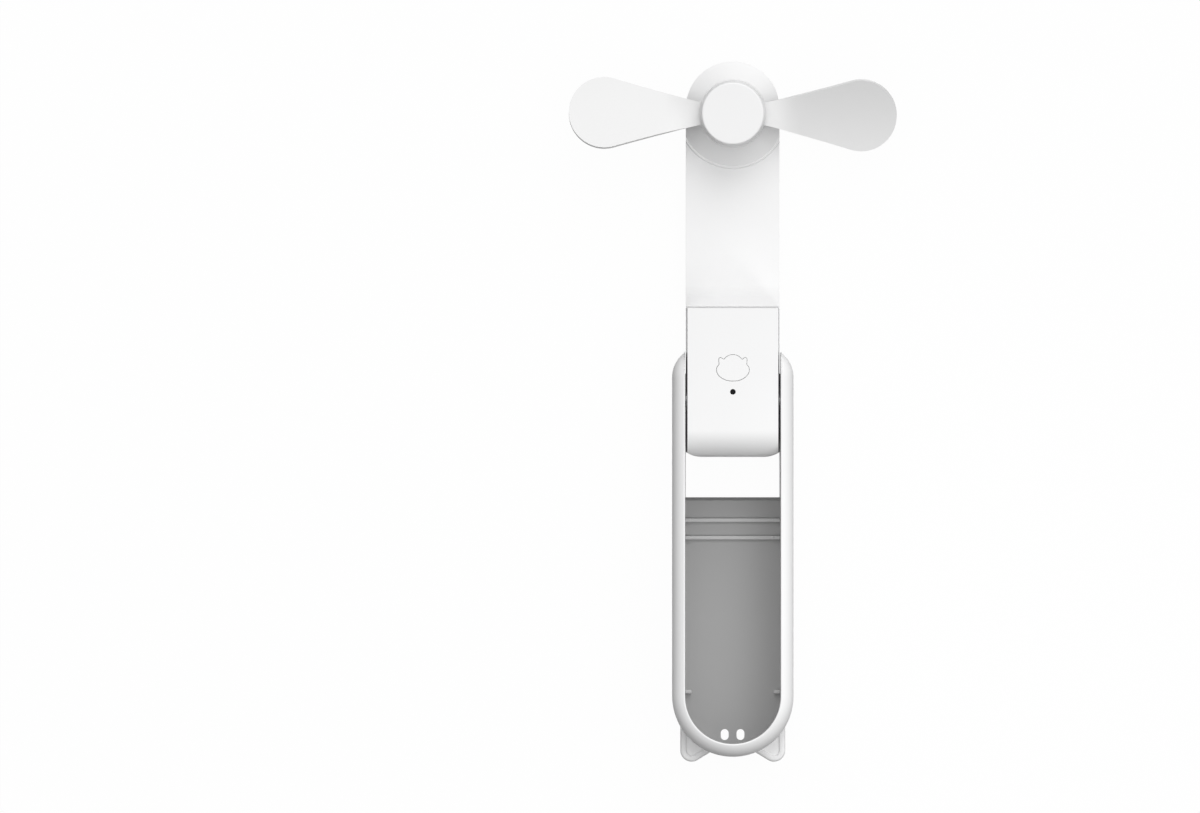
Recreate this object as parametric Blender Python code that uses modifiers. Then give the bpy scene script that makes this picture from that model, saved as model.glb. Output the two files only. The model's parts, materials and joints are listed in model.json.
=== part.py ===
"""A folding pocket fan with a battery, opened flat and lying on its back.

X runs across the body, +Y from the hinge to the rotor, and +Z out of the stowage bay.
Every mesh is drawn with y = 0 on the hinge axis or on its own axis, and z = 0 on the back.
"""

import math

import bmesh
import bpy
from mathutils import Matrix, Vector

# Clearances
FIT_GAP = 0.0003
RUNNING_GAP = 0.00035
OVERRUN = 0.002
MERGE_DISTANCE = 0.000001

# Body
BODY_WIDTH = 0.0430
BODY_LENGTH = 0.1453
BODY_DEPTH = 0.0320
RAIL_THICKNESS = 0.00455
BACK_THICKNESS = 0.0016
HINGE_CORNER_RADIUS = 0.0107
HINGE_END_FILLET = 0.0094
EDGE_ROUNDING = 0.0042
PIVOT_FROM_END = 0.0195

# Ears
EAR_TIP_RADIUS = 0.0033
EAR_TIP_X = 0.0153
EAR_TIP_PAST_END = 0.0018
EAR_ROOT_RADIUS = 0.0012
EAR_OUTER_ROOT_X = 0.0174
EAR_OUTER_ROOT_BEFORE_END = 0.0135
EAR_INNER_ROOT_X = 0.0078
EAR_INNER_ROOT_BEFORE_END = 0.0031
EAR_THICKNESS = 0.0080
EAR_ROUNDING = 0.0009
EAR_RIM = 0.0011
EAR_RECESS = 0.0012

# Bay liner
LINER_THICKNESS = 0.0012
LINER_RIB_WIDTH = 0.0011
LINER_RIB_HEIGHT = 0.0011
FIRST_RIB_FROM_PIVOT = 0.0420
RIB_PITCH = 0.0062
SIDE_RIB_BEFORE_ROUND_END = 0.0014
SIDE_RIB_LENGTH = 0.0023
LANYARD_HOLE_WIDTH = 0.0028
LANYARD_HOLE_LENGTH = 0.0039
LANYARD_HOLE_SPACING = 0.0056
LANYARD_HOLE_FROM_BAY_END = 0.0031

# Hinge
HINGE_PIN_RADIUS = 0.0018
HINGE_PIN_HEAD_RADIUS = 0.0030
HINGE_PIN_HEAD_THICKNESS = 0.0008
HINGE_BOSS_RADIUS = 0.0042
HINGE_BOSS_HEIGHT = 0.0010
BUSHING_WALL = 0.0011
BUSHING_LENGTH = 0.0025
WASHER_RADIUS = 0.0037
WASHER_THICKNESS = 0.0005

# Arm
BLOCK_LENGTH = 0.0533
PANEL_THICKNESS = 0.0080
ARM_WALL = 0.0015
COVER_HEIGHT = 0.0040
STEP_CHAMFER = 0.0005
ROTOR_FROM_TIP = 0.0186
DOME_BASE_RADIUS = 0.0192
DOME_TOP_RADIUS = 0.0122
DOME_HEIGHT = 0.0050

# Power button and indicator
BUTTON_FROM_PIVOT = 0.0121
BUTTON_WIDTH = 0.0119
BUTTON_LENGTH = 0.0097
BUTTON_FLANGE = 0.0009
BUTTON_FLANGE_THICKNESS = 0.0009
BUTTON_STEM_RADIUS = 0.0015
BUTTON_TRAVEL = 0.0005
INDICATOR_FROM_PIVOT = 0.0036
INDICATOR_RADIUS = 0.0007
INDICATOR_FLANGE_RADIUS = 0.0015
INDICATOR_FLANGE_THICKNESS = 0.0007
INDICATOR_DEPTH = 0.0004

# The right half of the button's head outline, from its crown round its ear and cheek to its chin,
# as shares of the button's half width and half length
HEAD_SHARES = (
    (0, 1),
    (0.23, 0.95),
    (0.43, 0.81),
    (0.58, 0.63),
    (0.70, 0.75),
    (0.82, 0.78),
    (0.88, 0.68),
    (0.88, 0.44),
    (0.85, 0.17),
    (0.94, 0.00),
    (1, -0.19),
    (0.97, -0.42),
    (0.85, -0.62),
    (0.65, -0.80),
    (0.35, -0.96),
    (0, -1),
)

# Boards
BOARD_THICKNESS = 0.0011
CONTROL_BOARD_SIDE_GAP = 0.0021
CONTROL_BOARD_BEFORE_PIVOT = 0.0080
CONTROL_BOARD_BEFORE_STEP = 0.0068
CONTROL_BOARD_BELOW_FRONT = 0.0056
SWITCH_SIDE = 0.0060
SWITCH_HEIGHT = 0.0010
LED_SIDE = 0.0016
LED_HEIGHT = 0.0007
BOARD_BOSS_RADIUS = 0.0021
BOARD_BOSS_FROM_EDGE = 0.0026
BOARD_BOSS_FROM_END = 0.0050
SCREW_RADIUS = 0.0008
SCREW_HEAD_RADIUS = 0.0015
SCREW_HEAD_THICKNESS = 0.0007
BOARD_SCREW_LENGTH = 0.0038
PORT_BOARD_SIDE_GAP = 0.0031
PORT_BOARD_LENGTH = 0.0134
USB_BELOW_CONTROL_BOARD = 0.0034

# Ports
USB_WIDTH = 0.0132
USB_HEIGHT = 0.0058
USB_DEPTH = 0.0130
USB_WALL = 0.0004
USB_TONGUE_THICKNESS = 0.0016
USB_TONGUE_SIDE_GAP = 0.0008
CHARGE_WIDTH = 0.0090
CHARGE_HEIGHT = 0.0032
CHARGE_DEPTH = 0.0073
CHARGE_WALL = 0.0003
CHARGE_TONGUE_THICKNESS = 0.0007
CHARGE_TONGUE_SIDE_GAP = 0.0009
CHARGE_X = -0.0046
PORT_RECESS = 0.0002
LENS_RADIUS = 0.0022
LENS_THICKNESS = 0.0013
LENS_X = 0.0056
LENS_BELOW_BOARD = 0.0026
FLASHLIGHT_RADIUS = 0.0017
FLASHLIGHT_LENGTH = 0.0034

# Battery
PAD_THICKNESS = 0.0005
PAD_MARGIN = 0.0015
CELL_SIDE_GAP = 0.0005
CELL_BELOW_BOARD = 0.0028
CELL_BEHIND_PORT = 0.0027
CELL_END_GAP = 0.0027
CELL_ROUNDING = 0.0016
WIRE_RADIUS = 0.0005
WIRE_BEND = 0.0012
WIRE_STUB = 0.0003
MOTOR_WIRE_X = 0.0024
MOTOR_WIRE_Z = 0.0032
BATTERY_WIRE_FROM_CELL_EDGE = 0.0030
BATTERY_WIRE_BELOW_BOARD = 0.0063

# Motor
MOTOR_RADIUS = 0.0108
MOTOR_HEIGHT = 0.0092
MOTOR_WALL = 0.0009
MOTOR_PLATE_THICKNESS = 0.0010
ARMATURE_RADIUS = 0.0085
ARMATURE_HEIGHT = 0.0050
SHAFT_RADIUS = 0.0010
BUSH_WALL = 0.0009
BUSH_FLANGE = 0.0010
BUSH_FLANGE_THICKNESS = 0.0006
MOTOR_SCREW_FROM_AXIS = 0.0070
MOTOR_SCREW_LENGTH = 0.0018

# Rotor
HUB_RADIUS = 0.0110
HUB_LIFT = 0.0014
HUB_BASE_RADIUS = 0.0103
HUB_BASE_THICKNESS = 0.0014
HUB_BOSS_RADIUS = 0.0022
HUB_WALL = 0.0015
HUB_CAP_HEIGHT = 0.0051
HUB_CAP_ROUNDING = 0.0006
HUB_CAP_DRAFT = 0.0008
STOP_WALL_THICKNESS = 0.0016
STOP_WALL_HALF_ANGLE = 48
BLADE_PIN_OFFSET = 0.0060
BLADE_PIN_RADIUS = 0.0010
PIN_BOSS_WALL = 0.0009

# Blades
FAN_RADIUS = 0.0582
BLADE_LOBE_RADIUS = 0.0129
BLADE_EDGE_ANGLE = 16.2
BLADE_PITCH = 25
BLADE_THICKNESS = 0.0011
KNUCKLE_RADIUS = 0.0034
KNUCKLE_HEIGHT = 0.0029
BLADE_ROOT_HALF_WIDTH = 0.0029
BLADE_ROOT_SLOPE = 0.20
PITCH_STARTS_AT = 0.0055
PITCH_RAMP = 0.0125

# Looks: colour, roughness, metallic
WHITE_PLASTIC = ((0.86, 0.86, 0.86), 0.38, 0.0)
SOFT_WHITE = ((0.84, 0.84, 0.84), 0.55, 0.0)
GREY_PLASTIC = ((0.30, 0.30, 0.30), 0.50, 0.0)
BLACK_PLASTIC = ((0.02, 0.02, 0.02), 0.40, 0.0)
GREEN_BOARD = ((0.02, 0.14, 0.06), 0.45, 0.0)
STEEL = ((0.62, 0.62, 0.63), 0.28, 1.0)
BRASS = ((0.72, 0.50, 0.20), 0.35, 1.0)
FOIL = ((0.70, 0.71, 0.73), 0.32, 0.6)
FOAM = ((0.05, 0.05, 0.06), 0.90, 0.0)
CLEAR = ((0.80, 0.86, 0.90), 0.08, 0.0)
RED_WIRE = ((0.55, 0.03, 0.02), 0.50, 0.0)
BLACK_WIRE = ((0.03, 0.03, 0.03), 0.50, 0.0)

# Places worked out from the sizes
BODY_HALF_WIDTH = BODY_WIDTH / 2
BAY_HALF_WIDTH = BODY_HALF_WIDTH - RAIL_THICKNESS
ARM_HALF_WIDTH = BAY_HALF_WIDTH - RUNNING_GAP
AXIS_Z = BODY_DEPTH / 2
ROUND_CENTRE_Y = PIVOT_FROM_END - BODY_LENGTH + BODY_HALF_WIDTH
ROUND_END_Y = PIVOT_FROM_END - BODY_LENGTH
BAY_END_Y = ROUND_CENTRE_Y - BAY_HALF_WIDTH
TIP_CENTRE_Y = -ROUND_CENTRE_Y
ARM_TIP_Y = TIP_CENTRE_Y + ARM_HALF_WIDTH
EAR_TIP_Y = ROUND_END_Y - EAR_TIP_PAST_END
PIVOT_Y = -(ARM_TIP_Y + EAR_TIP_Y) / 2
STEP_Y = BLOCK_LENGTH - PIVOT_FROM_END
BAY_CUT_RADIUS = math.hypot(STEP_Y, AXIS_Z) + RUNNING_GAP
ROTOR_Y = ARM_TIP_Y - ROTOR_FROM_TIP
DOME_TOP_Z = PANEL_THICKNESS + DOME_HEIGHT
FRONT_INSIDE_Z = BODY_DEPTH - ARM_WALL
END_INSIDE_Y = ARM_WALL - PIVOT_FROM_END
HUB_Z = DOME_TOP_Z + HUB_LIFT
KNUCKLE_Z = HUB_Z + HUB_BASE_THICKNESS + FIT_GAP
BLADE_Z = KNUCKLE_Z + KNUCKLE_HEIGHT / 2
HUB_CAP_Z = KNUCKLE_Z + KNUCKLE_HEIGHT + FIT_GAP
HUB_TOP_Z = HUB_CAP_Z + HUB_CAP_HEIGHT
CONTROL_BOARD_Z = BODY_DEPTH - CONTROL_BOARD_BELOW_FRONT - BOARD_THICKNESS
CONTROL_TOP_Z = CONTROL_BOARD_Z + BOARD_THICKNESS
ARM_INSIDE_X = ARM_HALF_WIDTH - ARM_WALL
BOSS_FACE_X = ARM_INSIDE_X - HINGE_BOSS_HEIGHT
CELL_HALF_WIDTH = BOSS_FACE_X - FIT_GAP - HINGE_PIN_HEAD_THICKNESS - CELL_SIDE_GAP
CELL_SEAT_Z = ARM_WALL + FIT_GAP + PAD_THICKNESS + FIT_GAP
CELL_THICKNESS = (CONTROL_BOARD_Z - CELL_BELOW_BOARD - CELL_SEAT_Z - FIT_GAP) / 2
CELL_START_Y = PORT_RECESS - PIVOT_FROM_END + USB_DEPTH + CELL_BEHIND_PORT
CELL_END_Y = STEP_Y - ARM_WALL - CELL_END_GAP
BATTERY_WIRE_X = CELL_HALF_WIDTH - BATTERY_WIRE_FROM_CELL_EDGE
BATTERY_WIRE_Z = CONTROL_BOARD_Z - BATTERY_WIRE_BELOW_BOARD
CONTROL_BOARD_HALF_WIDTH = ARM_INSIDE_X - CONTROL_BOARD_SIDE_GAP
CONTROL_BOARD_END_Y = STEP_Y - CONTROL_BOARD_BEFORE_STEP
BOARD_BOSS_X = CONTROL_BOARD_HALF_WIDTH - BOARD_BOSS_FROM_EDGE
BOARD_BOSS_Y = CONTROL_BOARD_END_Y - BOARD_BOSS_FROM_END
BUSH_RADIUS = SHAFT_RADIUS + FIT_GAP + BUSH_WALL
USB_Z = CONTROL_BOARD_Z - USB_BELOW_CONTROL_BOARD - USB_HEIGHT / 2
PORT_BOARD_Z = USB_Z - USB_HEIGHT / 2 - FIT_GAP - BOARD_THICKNESS
LENS_Z = PORT_BOARD_Z - LENS_BELOW_BOARD
CHARGE_Z = PORT_BOARD_Z - FIT_GAP - CHARGE_HEIGHT / 2
CHARGE_CORNER = CHARGE_HEIGHT / 2 - MERGE_DISTANCE


def clear_scene():
    for old in list(bpy.data.objects):
        bpy.data.objects.remove(old, do_unlink=True)


def new_collection(name):
    made = bpy.data.collections.new(name)
    bpy.context.scene.collection.children.link(made)
    return made


clear_scene()
PARTS = new_collection("power_bank_fan")
CUTTERS = new_collection("cutters")


def empty(name, place, parent=None, turn=0):
    made = bpy.data.objects.new(name, None)
    made.parent = parent
    made.location = place
    made.rotation_euler = (0, 0, turn)
    PARTS.objects.link(made)
    return made


# One empty on the axis of each moving body, and below it one that puts z = 0 on the back plane
BODY = empty("body_origin", (0, PIVOT_Y, 0))
ARM_AXIS = empty("arm_axis", (0, PIVOT_Y, AXIS_Z))
ARM = empty("arm_origin", (0, 0, -AXIS_Z), ARM_AXIS)
BUTTON = empty("button_axis", (0, BUTTON_FROM_PIVOT, 0), ARM)
ROTOR = empty("rotor_axis", (0, ROTOR_Y, 0), ARM)
BLADE_RIGHT = empty("blade_right_axis", (BLADE_PIN_OFFSET, 0, 0), ROTOR)
BLADE_LEFT = empty("blade_left_axis", (-BLADE_PIN_OFFSET, 0, 0), ROTOR, math.pi)


def add_object(name, data, parent, look=None):
    """A piece when it has a look, and otherwise a cutter that no render shows."""
    made = bpy.data.objects.new(name, data)
    made.parent = parent
    if look is None:
        made.hide_render = True
        made.display_type = "WIRE"
        CUTTERS.objects.link(made)
        return made
    PARTS.objects.link(made)
    colour, roughness, metallic = look
    material = bpy.data.materials.new(name + "_material")
    material.use_nodes = True
    shader = material.node_tree.nodes["Principled BSDF"]
    shader.inputs["Base Color"].default_value = (*colour, 1)
    shader.inputs["Roughness"].default_value = roughness
    shader.inputs["Metallic"].default_value = metallic
    data.materials.append(material)
    return made


def mesh_from(shape, name):
    mesh = bpy.data.meshes.new(name)
    shape.to_mesh(mesh)
    shape.free()
    mesh.shade_smooth()
    mesh.set_sharp_from_angle(angle=math.radians(35))
    return mesh


def box(name, low, high, parent, look=None):
    shape = bmesh.new()
    bmesh.ops.create_cube(shape, size=1)
    size = Vector(high) - Vector(low)
    middle = (Vector(high) + Vector(low)) / 2
    matrix = Matrix.Translation(middle) @ Matrix.Diagonal((*size, 1))
    bmesh.ops.transform(shape, matrix=matrix, verts=shape.verts)
    return add_object(name, mesh_from(shape, name), parent, look)


def rod(name, start, end, radius, parent, look=None, end_radius=None, sides=24):
    """A cylinder, or a cone with an end radius, from one point to another."""
    start, end = Vector(start), Vector(end)
    turn = Vector((0, 0, 1)).rotation_difference(end - start).to_matrix().to_4x4()
    shape = bmesh.new()
    bmesh.ops.create_cone(
        shape,
        cap_ends=True,
        segments=sides,
        radius1=radius,
        radius2=radius if end_radius is None else end_radius,
        depth=(end - start).length,
        matrix=Matrix.Translation((start + end) / 2) @ turn,
    )
    return add_object(name, mesh_from(shape, name), parent, look)


def prism(name, outline, low, high, parent, look=None, across=False):
    """An outline in XY extruded along Z or, across, one in YZ extruded along X."""
    flat = bpy.data.curves.new(name + "_outline", "CURVE")
    flat.dimensions = "2D"
    flat.fill_mode = "BOTH"
    flat.extrude = (high - low) / 2
    spline = flat.splines.new("POLY")
    spline.points.add(len(outline) - 1)
    for point, (first, second) in zip(spline.points, outline):
        point.co = (first, second, 0, 1)
    spline.use_cyclic_u = True
    guide = bpy.data.objects.new(name + "_guide", flat)
    bpy.context.scene.collection.objects.link(guide)
    turn = Matrix.Rotation(math.pi / 2, 4, "Z") @ Matrix.Rotation(math.pi / 2, 4, "X")
    guide.matrix_world = (turn if across else Matrix()) @ Matrix.Translation((0, 0, (low + high) / 2))
    bpy.context.view_layer.update()
    evaluated = guide.evaluated_get(bpy.context.evaluated_depsgraph_get())
    shape = bmesh.new()
    shape.from_mesh(bpy.data.meshes.new_from_object(evaluated))
    shape.transform(guide.matrix_world)
    bpy.data.objects.remove(guide, do_unlink=True)
    bmesh.ops.remove_doubles(shape, verts=shape.verts, dist=MERGE_DISTANCE)
    bmesh.ops.dissolve_limit(
        shape, angle_limit=math.radians(0.5), verts=shape.verts, edges=shape.edges
    )
    return add_object(name, mesh_from(shape, name), parent, look)


def turned(name, profile, parent, look=None, place=(0, 0, 0), across=False, ring=False, steps=32):
    """A profile of (radius, height) points, down its outer side, turned round Z or, across, round X."""
    shape = bmesh.new()
    corners = [shape.verts.new((radius, 0, height)) for radius, height in profile]
    for first, second in zip(corners, corners[1:]):
        shape.edges.new((first, second))
    if ring:
        shape.edges.new((corners[-1], corners[0]))
    mesh = bpy.data.meshes.new(name)
    shape.to_mesh(mesh)
    shape.free()
    made = add_object(name, mesh, parent, look)
    made.location = place
    if across:
        made.rotation_euler = (0, math.pi / 2, 0)
    screw = made.modifiers.new("turn", "SCREW")
    screw.axis = "Z"
    screw.steps = steps
    screw.render_steps = steps
    screw.use_merge_vertices = True
    screw.merge_threshold = MERGE_DISTANCE
    screw.use_smooth_shade = False
    return made


def ring_profile(inner, outer, low, high):
    return [(outer, high), (outer, low), (inner, low), (inner, high)]


def change(piece, operation, *others):
    for other in others:
        step = piece.modifiers.new(other.name, "BOOLEAN")
        step.operation = operation
        step.object = other
        step.solver = "EXACT"
    return piece


def cut(piece, *others):
    return change(piece, "DIFFERENCE", *others)


def join(piece, *others):
    return change(piece, "UNION", *others)


def keep_inside(piece, *others):
    return change(piece, "INTERSECT", *others)


def round_edges(piece, width, segments, angle=40):
    bevel = piece.modifiers.new("rounding", "BEVEL")
    bevel.limit_method = "ANGLE"
    bevel.angle_limit = math.radians(angle)
    bevel.width = width
    bevel.segments = segments
    return piece


def arc(centre, radius, start, end, steps):
    """Points on an arc between two angles in degrees, both ends included."""
    angles = [math.radians(start + (end - start) * i / steps) for i in range(steps + 1)]
    return [(centre[0] + radius * math.cos(a), centre[1] + radius * math.sin(a)) for a in angles]


def body_outline():
    corner_x = BODY_HALF_WIDTH - HINGE_CORNER_RADIUS
    corner_y = PIVOT_FROM_END - HINGE_CORNER_RADIUS
    return (
        arc((0, ROUND_CENTRE_Y), BODY_HALF_WIDTH, 180, 360, 28)
        + arc((corner_x, corner_y), HINGE_CORNER_RADIUS, 0, 90, 8)
        + arc((-corner_x, corner_y), HINGE_CORNER_RADIUS, 90, 180, 8)
    )


def bay_outline(inset, top):
    """The bay's round end and straight sides, drawn in by the inset, up to the given y."""
    half = BAY_HALF_WIDTH - inset
    return arc((0, ROUND_CENTRE_Y), half, 180, 360, 28) + [(half, top), (-half, top)]


def arm_outline(inset):
    """The arm's round tip and straight sides, and the body's corner arcs at the hinge end."""
    half = ARM_HALF_WIDTH - inset
    corner_x = BODY_HALF_WIDTH - HINGE_CORNER_RADIUS
    corner_y = HINGE_CORNER_RADIUS - PIVOT_FROM_END
    radius = HINGE_CORNER_RADIUS - inset
    reach = math.degrees(math.acos(min(1, (half - corner_x) / radius)))
    return (
        arc((0, TIP_CENTRE_Y), half, 0, 180, 28)
        + arc((-corner_x, corner_y), radius, 180 + reach, 270, 5)
        + arc((corner_x, corner_y), radius, 270, 360 - reach, 5)
    )


def arm_side(inset):
    """The block, its filleted end and the thin panel in YZ, drawn in by the inset."""
    radius = HINGE_END_FILLET - inset
    end = HINGE_END_FILLET - PIVOT_FROM_END
    far = ARM_TIP_Y + OVERRUN
    chamfer = 0 if inset else STEP_CHAMFER
    return (
        [(far, inset), (far, PANEL_THICKNESS - inset), (STEP_Y - inset, PANEL_THICKNESS - inset)]
        + [(STEP_Y - inset, BODY_DEPTH - inset - chamfer)]
        + [(STEP_Y - inset - chamfer, BODY_DEPTH - inset)] * bool(chamfer)
        + arc((end, BODY_DEPTH - HINGE_END_FILLET), radius, 90, 180, 7)
        + arc((end, HINGE_END_FILLET), radius, 180, 270, 7)
    )


def rail_side():
    """The body's YZ silhouette: long and straight, with the same fillets at the hinge end."""
    start = ROUND_END_Y - OVERRUN
    end = PIVOT_FROM_END - HINGE_END_FILLET
    return (
        [(start, 0)]
        + arc((end, HINGE_END_FILLET), HINGE_END_FILLET, 270, 360, 7)
        + arc((end, BODY_DEPTH - HINGE_END_FILLET), HINGE_END_FILLET, 0, 90, 7)
        + [(start, BODY_DEPTH)]
    )


def hull_of_circles(circles, steps):
    """The outline round a few circles, given anticlockwise as (x, y, radius)."""
    points = []
    for i, (x, y, radius) in enumerate(circles):
        before = Vector(circles[i - 1][:2])
        after = Vector(circles[(i + 1) % len(circles)][:2])
        here = Vector((x, y))
        start = math.atan2(*(here - before).yx) - math.pi / 2
        end = math.atan2(*(after - here).yx) - math.pi / 2
        while end < start:
            end += 2 * math.pi
        points += arc((x, y), radius, math.degrees(start), math.degrees(end), steps)
    return points


def ear_outline(inset, side):
    """A rounded triangle from the round end; the side is 1 on the right and -1 on the left."""
    root_radius = EAR_ROOT_RADIUS - min(inset, EAR_ROOT_RADIUS / 2)
    circles = [
        (EAR_OUTER_ROOT_X, ROUND_END_Y + EAR_OUTER_ROOT_BEFORE_END, root_radius),
        (EAR_INNER_ROOT_X, ROUND_END_Y + EAR_INNER_ROOT_BEFORE_END, root_radius),
        (EAR_TIP_X, EAR_TIP_Y + EAR_TIP_RADIUS, EAR_TIP_RADIUS - inset),
    ]
    outline = hull_of_circles(circles, 6)
    return outline if side > 0 else [(-x, y) for x, y in reversed(outline)]


def head_outline(grow):
    """An animal head seen from the front, with two small pointed ears, anticlockwise from its chin."""
    right = [(x * BUTTON_WIDTH / 2, y * BUTTON_LENGTH / 2) for x, y in reversed(HEAD_SHARES)]
    left = [(-x, y) for x, y in right[-2:0:-1]]
    points = right + left
    grown = []
    for i, (x, y) in enumerate(points):
        before = Vector(points[i - 1])
        after = Vector(points[(i + 1) % len(points)])
        along = (after - before).normalized()
        grown.append((x + grow * along.y, y - grow * along.x))
    return grown


def button_flange_outline():
    """An oval that reaches past the head all round."""
    across = BUTTON_WIDTH / 2 + BUTTON_FLANGE
    along = BUTTON_LENGTH / 2 + BUTTON_FLANGE
    return [(across * x, along * y) for x, y in arc((0, 0), 1, 0, 345, 23)]


def bay_floor(name, inset, sweep_gap, low, high, look=None):
    """A slab under the bay, cut back by the arc that the block's corner sweeps."""
    slab = prism(name, bay_outline(inset, -AXIS_Z), low, high, BODY, look)
    reach = BAY_HALF_WIDTH - inset + OVERRUN
    ends = (-reach, 0, AXIS_Z), (reach, 0, AXIS_Z)
    return cut(slab, rod(name + "_sweep", *ends, BAY_CUT_RADIUS + sweep_gap, BODY, sides=96))


def lanyard_holes(name):
    """Two upright oval holes near the bay's round end."""
    straight = (LANYARD_HOLE_LENGTH - LANYARD_HOLE_WIDTH) / 2
    middle = BAY_END_Y + LANYARD_HOLE_FROM_BAY_END
    top = BACK_THICKNESS + FIT_GAP + LINER_THICKNESS + OVERRUN
    radius = LANYARD_HOLE_WIDTH / 2
    holes = []
    for side, x in (("left", -LANYARD_HOLE_SPACING / 2), ("right", LANYARD_HOLE_SPACING / 2)):
        outline = arc((x, middle + straight), radius, 0, 180, 6)
        outline += arc((x, middle - straight), radius, 180, 360, 6)
        holes.append(prism(f"{name}_hole_{side}", outline, -OVERRUN, top, BODY))
    return holes


def ear(side_name, side):
    """A rounded triangle with a shallow recess in its front."""
    low = AXIS_Z - EAR_THICKNESS / 2
    high = AXIS_Z + EAR_THICKNESS / 2
    shape = prism(f"ear_{side_name}", ear_outline(0, side), low, high, BODY)
    round_edges(shape, EAR_ROUNDING, 2)
    inner = ear_outline(EAR_RIM, side)
    recess = prism(f"ear_recess_{side_name}", inner, high - EAR_RECESS, high + OVERRUN, BODY)
    return cut(shape, recess)


def body_shell():
    shell = prism("body_shell", body_outline(), 0, BODY_DEPTH, BODY, WHITE_PLASTIC)
    round_edges(shell, EDGE_ROUNDING, 4)
    reach = BODY_HALF_WIDTH + OVERRUN
    keep_inside(shell, prism("rail_side", rail_side(), -reach, reach, BODY, across=True))
    join(shell, ear("left", -1), ear("right", 1))
    open_y = PIVOT_FROM_END + OVERRUN
    bay = prism("bay", bay_outline(0, open_y), -OVERRUN, BODY_DEPTH + OVERRUN, BODY)
    cut(bay, bay_floor("bay_back", -OVERRUN, 0, -OVERRUN * 2, BACK_THICKNESS))
    cut(shell, bay)
    socket_radius = HINGE_PIN_RADIUS + FIT_GAP + BUSHING_WALL + FIT_GAP
    depth = BAY_HALF_WIDTH + BUSHING_LENGTH + FIT_GAP * 2
    cut(shell, rod("hinge_sockets", (-depth, 0, AXIS_Z), (depth, 0, AXIS_Z), socket_radius, BODY))
    return cut(shell, *lanyard_holes("shell"))


def bay_liner():
    """The grey floor of the bay, with two ribs right across it and two short ones at its sides."""
    low = BACK_THICKNESS + FIT_GAP
    top = low + LINER_THICKNESS
    liner = bay_floor("bay_liner", FIT_GAP, FIT_GAP, low, top, GREY_PLASTIC)
    half = BAY_HALF_WIDTH - FIT_GAP
    rib_top = top + LINER_RIB_HEIGHT
    middle = (low + top) / 2
    for number in range(2):
        near = -FIRST_RIB_FROM_PIVOT - RIB_PITCH * number
        far = near - LINER_RIB_WIDTH
        join(liner, box(f"rib_{number}", (-half, far, middle), (half, near, rib_top), BODY))
    near = ROUND_CENTRE_Y + SIDE_RIB_BEFORE_ROUND_END + LINER_RIB_WIDTH / 2
    far = near - LINER_RIB_WIDTH
    left = (-half, far, middle), (SIDE_RIB_LENGTH - half, near, rib_top)
    right = (half - SIDE_RIB_LENGTH, far, middle), (half, near, rib_top)
    join(liner, box("side_rib_left", *left, BODY), box("side_rib_right", *right, BODY))
    return cut(liner, *lanyard_holes("liner"))


def hinge(side_name, side):
    """One side's bushing in the rail, and the headed pin and spring washer on the arm."""
    bore = HINGE_PIN_RADIUS + FIT_GAP
    turned(
        f"hinge_bushing_{side_name}",
        ring_profile(bore, bore + BUSHING_WALL, 0, side * BUSHING_LENGTH)[::side],
        BODY,
        BLACK_PLASTIC,
        (side * (BAY_HALF_WIDTH + FIT_GAP), 0, AXIS_Z),
        across=True,
        ring=True,
        steps=24,
    )
    head_face = BOSS_FACE_X - FIT_GAP
    head = head_face - HINGE_PIN_HEAD_THICKNESS
    tip = BAY_HALF_WIDTH + BUSHING_LENGTH
    profile = [
        (0, tip),
        (HINGE_PIN_RADIUS, tip),
        (HINGE_PIN_RADIUS, head_face),
        (HINGE_PIN_HEAD_RADIUS, head_face),
        (HINGE_PIN_HEAD_RADIUS, head),
        (0, head),
    ]
    profile = [(radius, side * height) for radius, height in profile][::side]
    pin = f"hinge_pin_{side_name}"
    turned(pin, profile, ARM, STEEL, (0, 0, AXIS_Z), across=True, steps=24)
    low = ARM_HALF_WIDTH - WASHER_THICKNESS
    washer = ring_profile(bore, WASHER_RADIUS, side * low, side * ARM_HALF_WIDTH)[::side]
    name = f"friction_washer_{side_name}"
    turned(name, washer, ARM, STEEL, (0, 0, AXIS_Z), across=True, ring=True, steps=24)


def dome(name, inset):
    """The motor dome's cone, drawn in square to its surface."""
    slope = (DOME_BASE_RADIUS - DOME_TOP_RADIUS) / DOME_HEIGHT
    foot = DOME_BASE_RADIUS + slope * PANEL_THICKNESS - inset * math.hypot(1, slope)
    top = DOME_TOP_Z - inset
    start, end = (0, ROTOR_Y, 0), (0, ROTOR_Y, top)
    return rod(name, start, end, foot, ARM, end_radius=foot - slope * top, sides=64)


def arm_form(name, inset, look=None):
    """The whole arm as one block: its outline and its side view, both drawn in by the inset."""
    form = prism(name, arm_outline(inset), inset, BODY_DEPTH - inset, ARM, look)
    reach = ARM_HALF_WIDTH + OVERRUN
    side = prism(name + "_side", arm_side(inset), -reach, reach, ARM, across=True)
    return keep_inside(form, join(side, dome(name + "_dome", inset)))


def half_space(name, low, high):
    """A block wider and longer than the arm between two heights."""
    reach = ARM_HALF_WIDTH + OVERRUN
    near = -PIVOT_FROM_END - OVERRUN
    return box(name, (-reach, near, low), (reach, ARM_TIP_Y + OVERRUN, high), ARM)


def arm_cover():
    cover = arm_form("arm_cover", 0, WHITE_PLASTIC)
    cut(cover, arm_form("cover_hollow", ARM_WALL))
    return cut(cover, half_space("cover_top", COVER_HEIGHT, BODY_DEPTH + OVERRUN))


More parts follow.
